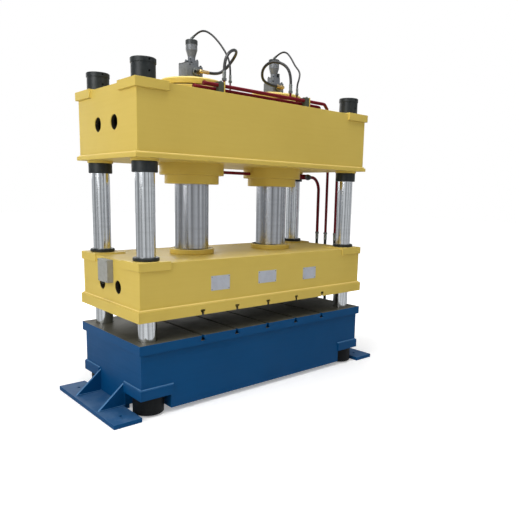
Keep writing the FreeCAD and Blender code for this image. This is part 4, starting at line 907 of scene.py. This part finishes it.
# coil springs inside the pilot cylinders
coilSet = {
    "bottom": 2.570, "top": 2.606, "wire": 0.0016, "sides": 12, "radius": 0.019, "turns": 5,
    "steps": 28, "travel": 0.016,
}


def coilSpring(name, axis, joint, nodeName, bottom, top, wire, sides, radius, turns, steps, travel):
    # the wire's section, wound up round the axis
    bpy.ops.object.select_all(action="DESELECT")
    bpy.ops.mesh.primitive_circle_add(vertices=sides, radius=wire, fill_type="NOTHING",
                                      rotation=(math.pi / 2, 0, 0),
                                      location=(radius, 0, bottom + wire))
    spring = newPiece(name)
    wind = spring.modifiers.new("wind", "SCREW")
    wind.screw_offset = (top - bottom - 2 * wire) / turns
    wind.iterations = turns
    wind.steps = steps
    wind.render_steps = steps
    bpy.ops.object.modifier_apply(modifier="wind")
    closeMesh()
    spring.data.transform(Matrix.Translation((axis, 0, 0)))
    finishedPiece([spring], name, "valve_steel", "frame", nodeName)
    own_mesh(spring)


def closeMesh():
    # fills the open ends of the active piece and turns its faces outwards
    switchTo("EDIT")
    bpy.ops.mesh.select_mode(type="VERT")
    bpy.ops.mesh.select_all(action="SELECT")
    bpy.ops.mesh.fill_holes(sides=0)
    faceOutwards()


for side, axis in cylinderSides.items():
    joint, nodeName = "prefill_" + side.lower(), "poppet_spring_" + side.lower()
    coilSpring("coilSpring" + side, axis, joint, nodeName, **coilSet)
print("springs ready")

# painted weld beads: small rippled ones, and wide ones that were ground nearly smooth
weldSet = {"radius": 0.0045, "pitch": 0.010, "sides": 6, "waist": 0.82}
groundSet = {"radius": 0.0110, "pitch": 0.014, "sides": 12, "waist": 0.95}
seatSet = {"radius": 0.0090, "pitch": 0.014, "sides": 12, "waist": 0.95}
lapShare, beadMerge = 0.7, 0.0002
seamSet = {
    "bodyX": 1.1, "bodyY": 0.442, "crownZ": 1.773, "slideZ": 0.748, "bedZ": 0.454,
    "gussetY": (-0.190, 0.190), "gussetHalf": 0.009, "footX": (1.102, 1.290), "footZ": 0.034,
    "endZ": (0.036, 0.196), "seatX": 0.862, "seatY": 0.200, "seatZ": 0.206,
}


def weldBead(start, end, radius, pitch, sides, waist):
    # one ripple of the bead, repeated along a seam and a little past both its ends
    bpy.ops.object.select_all(action="DESELECT")
    bpy.ops.mesh.primitive_circle_add(vertices=sides, radius=radius * waist, fill_type="NOTHING")
    bead = newPiece("bead")
    switchTo("EDIT")
    bpy.ops.mesh.select_mode(type="VERT")
    bpy.ops.mesh.select_all(action="SELECT")
    for growth in (1 / waist, waist):
        bpy.ops.mesh.extrude_region_move(TRANSFORM_OT_translate={"value": (0, 0, pitch / 2)})
        bpy.ops.transform.resize(value=(growth, growth, 1), center_override=(0, 0, 0))
    switchTo("OBJECT")
    line = Vector(end) - Vector(start)
    lap = line.normalized() * radius * lapShare
    line = line + lap * 2
    row = bead.modifiers.new("row", "ARRAY")
    row.use_relative_offset = False
    row.use_constant_offset = True
    row.constant_offset_displace = (0, 0, pitch)
    row.count = max(1, round(line.length / pitch))
    row.use_merge_vertices = True
    row.merge_threshold = beadMerge
    bpy.ops.object.modifier_apply(modifier="row")
    closeMesh()
    return copies(bead, [Vector(start) - lap], line)[0]


def seamAround(z, bead):
    # four beads round a welded body
    x, y = seamSet["bodyX"], seamSet["bodyY"]
    corners = [(-x, -y, z), (x, -y, z), (x, y, z), (-x, y, z), (-x, -y, z)]
    return [weldBead(start, end, **bead) for start, end in zip(corners, corners[1:])]


finishedPiece(seamAround(seamSet["crownZ"], groundSet), "crownWelds", "yellow_paint")
finishedPiece(seamAround(seamSet["slideZ"], groundSet), "slideWelds", "yellow_paint", "slide")
bedSeams = seamAround(seamSet["bedZ"], weldSet)
for side in (-1, 1):
    x = side * seamSet["bodyX"]
    for middle in seamSet["gussetY"]:
        for y in (middle - seamSet["gussetHalf"], middle + seamSet["gussetHalf"]):
            foot = [(side * footX, y, seamSet["footZ"]) for footX in seamSet["footX"]]
            upright = [(x, y, z) for z in seamSet["endZ"]]
            bedSeams += [weldBead(*foot, **weldSet), weldBead(*upright, **weldSet)]
    for front in (-1, 1):
        y, z = front * seamSet["bodyY"], seamSet["seatZ"]
        ends = [(side * seamSet["seatX"], y, z), (x, front * seamSet["seatY"], z)]
        bedSeams += [weldBead((x, y, z), end, **seatSet) for end in ends]
finishedPiece(bedSeams, "bedWelds", "bed_blue")
print("welds ready")


lineSet = {"rings": 5, "order": 3, "steps": 16}


def freeHose(nodeName, kind, route):
    # one smooth line through the route, as thick as the hose
    curve = bpy.data.curves.new(nodeName + "_line", "CURVE")
    curve.dimensions = "3D"
    curve.bevel_depth = kind["bore"]
    curve.bevel_resolution = lineSet["rings"]
    curve.use_fill_caps = True
    spline = curve.splines.new("NURBS")
    spline.points.add(len(route) - 1)
    for point, place in zip(spline.points, route):
        point.co = (*place, 1)
    spline.order_u = lineSet["order"]
    spline.use_endpoint_u = True
    spline.resolution_u = lineSet["steps"]
    hose = addObject(nodeName + "_rubber", curve)
    dress(hose, finishes["hose_rubber"], "frame", nodeName)
    2 * kind["bore"]


for hoseName, settings in hoseSet.items():
    freeHose(hoseName, hoseKinds[settings["kind"]], settings["route"])
print("hoses ready")

# the photograph's viewpoint, found from its vanishing points: degrees, and pixels of the picture
cameraSet = {
    "place": (-2.7756, -3.6237, 1.5434), "yaw": 42.0468, "pitch": -9.1843, "roll": 1.3339,
    "focal": 544.788, "centre": (276.2376, 280.7505), "picture": (519, 512), "sensor": 36,
    "farthest": 200,
}


def addCamera(place, yaw, pitch, roll, focal, centre, picture, sensor, farthest):
    width, height = picture
    lens = bpy.data.cameras.new("viewpoint")
    lens.sensor_fit = "HORIZONTAL"
    lens.sensor_width = sensor
    lens.lens = focal / width * sensor
    lens.shift_x = (width / 2 - centre[0]) / width
    lens.shift_y = (centre[1] - height / 2) / width
    lens.clip_end = farthest
    camera = addObject("viewpoint", lens)
    y, p, r = math.radians(yaw), math.radians(pitch), math.radians(roll)
    ahead = Vector((math.sin(y) * math.cos(p), math.cos(y) * math.cos(p), math.sin(p)))
    right = Vector((math.cos(y), -math.sin(y), 0))
    up = right.cross(ahead)
    rolledRight = right * math.cos(r) + up * math.sin(r)
    rolledUp = up * math.cos(r) - right * math.sin(r)
    turned = Matrix((rolledRight, rolledUp, -ahead)).transposed().to_4x4()
    camera.matrix_world = Matrix.Translation(place) @ turned
    bpy.context.scene.camera = camera


addCamera(**cameraSet)

# lights: a key from the upper left, a weak fill, one behind, and a strong one above the front edge
lightSet = {
    "key": {"place": (-6.0, -1.6, 3.6), "aim": (0, 0, 1.2), "size": (3.4, 3.4), "power": 194},
    "front": {"place": (2.4, -6.3, 4.6), "aim": (0.4, 0, 1.2), "size": (5, 3), "power": 36},
    "behind": {"place": (0.5, 5.0, 2.7), "aim": (0, 0, 1.2), "size": (6, 2), "power": 85},
    "above": {"place": (-0.6, -1.1, 7.0), "aim": (-0.3, -0.8, 0), "size": (5, 2.6), "power": 262},
}


def addLight(name, place, aim, size, power):
    lamp = bpy.data.lights.new(name, "AREA")
    lamp.shape = "RECTANGLE"
    lamp.size, lamp.size_y = size
    lamp.energy = power
    holder = addObject(name, lamp)
    turned = (Vector(aim) - Vector(place)).to_track_quat("-Z", "Y").to_matrix().to_4x4()
    holder.matrix_world = Matrix.Translation(place) @ turned


for lightName, settings in lightSet.items():
    addLight(lightName + "Light", **settings)

# the camera sees a white room, an even one lights the press, and metal mirrors a banded one
roomSet = {
    "seen": 1.0, "even": 0.29, "mirrored": 0.70, "tint": (1, 1.03, 1.06), "bands": [
        (0.0, 0.75), (0.045, 0.20), (0.075, 0.85), (0.13, 0.95), (0.155, 0.16), (0.185, 0.60),
        (0.25, 0.90), (0.29, 0.22), (0.33, 1.15), (0.37, 0.35), (0.43, 0.80), (0.47, 0.14),
        (0.50, 1.25), (0.535, 0.30), (0.58, 0.85), (0.625, 0.18), (0.66, 1.10), (0.70, 0.45),
        (0.76, 0.90), (0.80, 0.20), (0.84, 1.00), (0.90, 0.55), (0.945, 0.25), (1.0, 0.75)],
}
room = bpy.data.worlds.new("room")
bpy.context.scene.world = room
room.use_nodes = True
roomTree = room.node_tree
roomTree.nodes.clear()


def bandStops(level):
    # the bands round the room, each a share of a turn and a colour
    return [(turn, [shade * level * tint for tint in roomSet["tint"]])
            for turn, shade in roomSet["bands"]]


def roomNode(kind, links):
    made = roomTree.nodes.new(kind)
    for socket, source in links.items():
        roomTree.links.new(source, made.inputs[socket])
    return made


def roomLight(level, colour=None):
    made = roomNode("ShaderNodeBackground", {"Color": colour} if colour else {})
    made.inputs["Strength"].default_value = level
    made.inputs["Color"].default_value = (1, 1, 1, 1)
    return made.outputs[0]


around = roomNode("ShaderNodeTexCoord", {}).outputs["Generated"]
compass = roomNode("ShaderNodeTexGradient", {"Vector": around})
compass.gradient_type = "RADIAL"
bands = roomNode("ShaderNodeValToRGB", {"Fac": compass.outputs["Color"]})
fillRamp(bands.color_ramp, bandStops(1))
ray = roomNode("ShaderNodeLightPath", {})
evenOrBanded = roomNode("ShaderNodeMixShader", {
    0: ray.outputs["Is Glossy Ray"], 1: roomLight(roomSet["even"]),
    2: roomLight(roomSet["mirrored"], bands.outputs["Color"])})
orWhite = roomNode("ShaderNodeMixShader", {
    0: ray.outputs["Is Camera Ray"], 1: evenOrBanded.outputs[0], 2: roomLight(roomSet["seen"])})
roomNode("ShaderNodeOutputWorld", {"Surface": orWhite.outputs[0]})
bpy.context.scene.view_settings.view_transform = "Standard"

# the floor is pale to the camera, with a painted glow that is weaker near the press, dull in the
# light it gives, and dark and banded in mirrors
floorSet = {
    "size": 60, "clouds": {"scale": 0.8, "detail": 3}, "cloudShare": 0.5, "roughness": 0.9,
    "sheen": 0.1, "pale": (0.90, 0.90, 0.90), "grey": (0.87, 0.87, 0.875),
    "dull": (0.76, 0.76, 0.76), "dark": (0.20, 0.20, 0.20), "mirrored": 0.56,
    "reach": (1.2, 3.6), "glow": (0.30, 0.84),
}
bpy.ops.object.select_all(action="DESELECT")
bpy.ops.mesh.primitive_plane_add(size=floorSet["size"], location=(0, 0, 0))
floor = bpy.context.object
floor.name = "floor"
ground = Finish("paleFloor", Roughness=floorSet["roughness"], Emission_Strength=1.0,
                Specular_IOR_Level=floorSet["sheen"])
eye = ground.node("ShaderNodeLightPath", output="Is Camera Ray")
mirror = ground.node("ShaderNodeLightPath", output="Is Glossy Ray")
clouds = ground.noise(**floorSet["clouds"]) * floorSet["cloudShare"]
unseen = ground.mix(mirror, floorSet["dull"], floorSet["dark"])
seen = ground.mix(clouds, floorSet["pale"], floorSet["grey"])
ground.set("Base Color", ground.mix(eye, unseen, seen))
away = ground.node("ShaderNodeVectorMath", {"operation": "LENGTH"}, {0: ground.place()}, "Value")
# the glow seen by the camera grows away from the press: painted shade round the press, fading to
# white further out
glow = ground.ramp(away, *floorSet["reach"], *floorSet["glow"])
compass = ground.node("ShaderNodeTexGradient", {"gradient_type": "RADIAL"}, {0: ground.place()}, 1)
stops = {"stops": bandStops(floorSet["mirrored"])}
banded = ground.node("ShaderNodeValToRGB", stops, {0: compass})
glowSeen = ground.mix(glow * eye, (0, 0, 0), (1, 1, 1))
ground.set("Emission Color", ground.mix(mirror, glowSeen, banded))
paint(floor, ground)
print("studio ready")
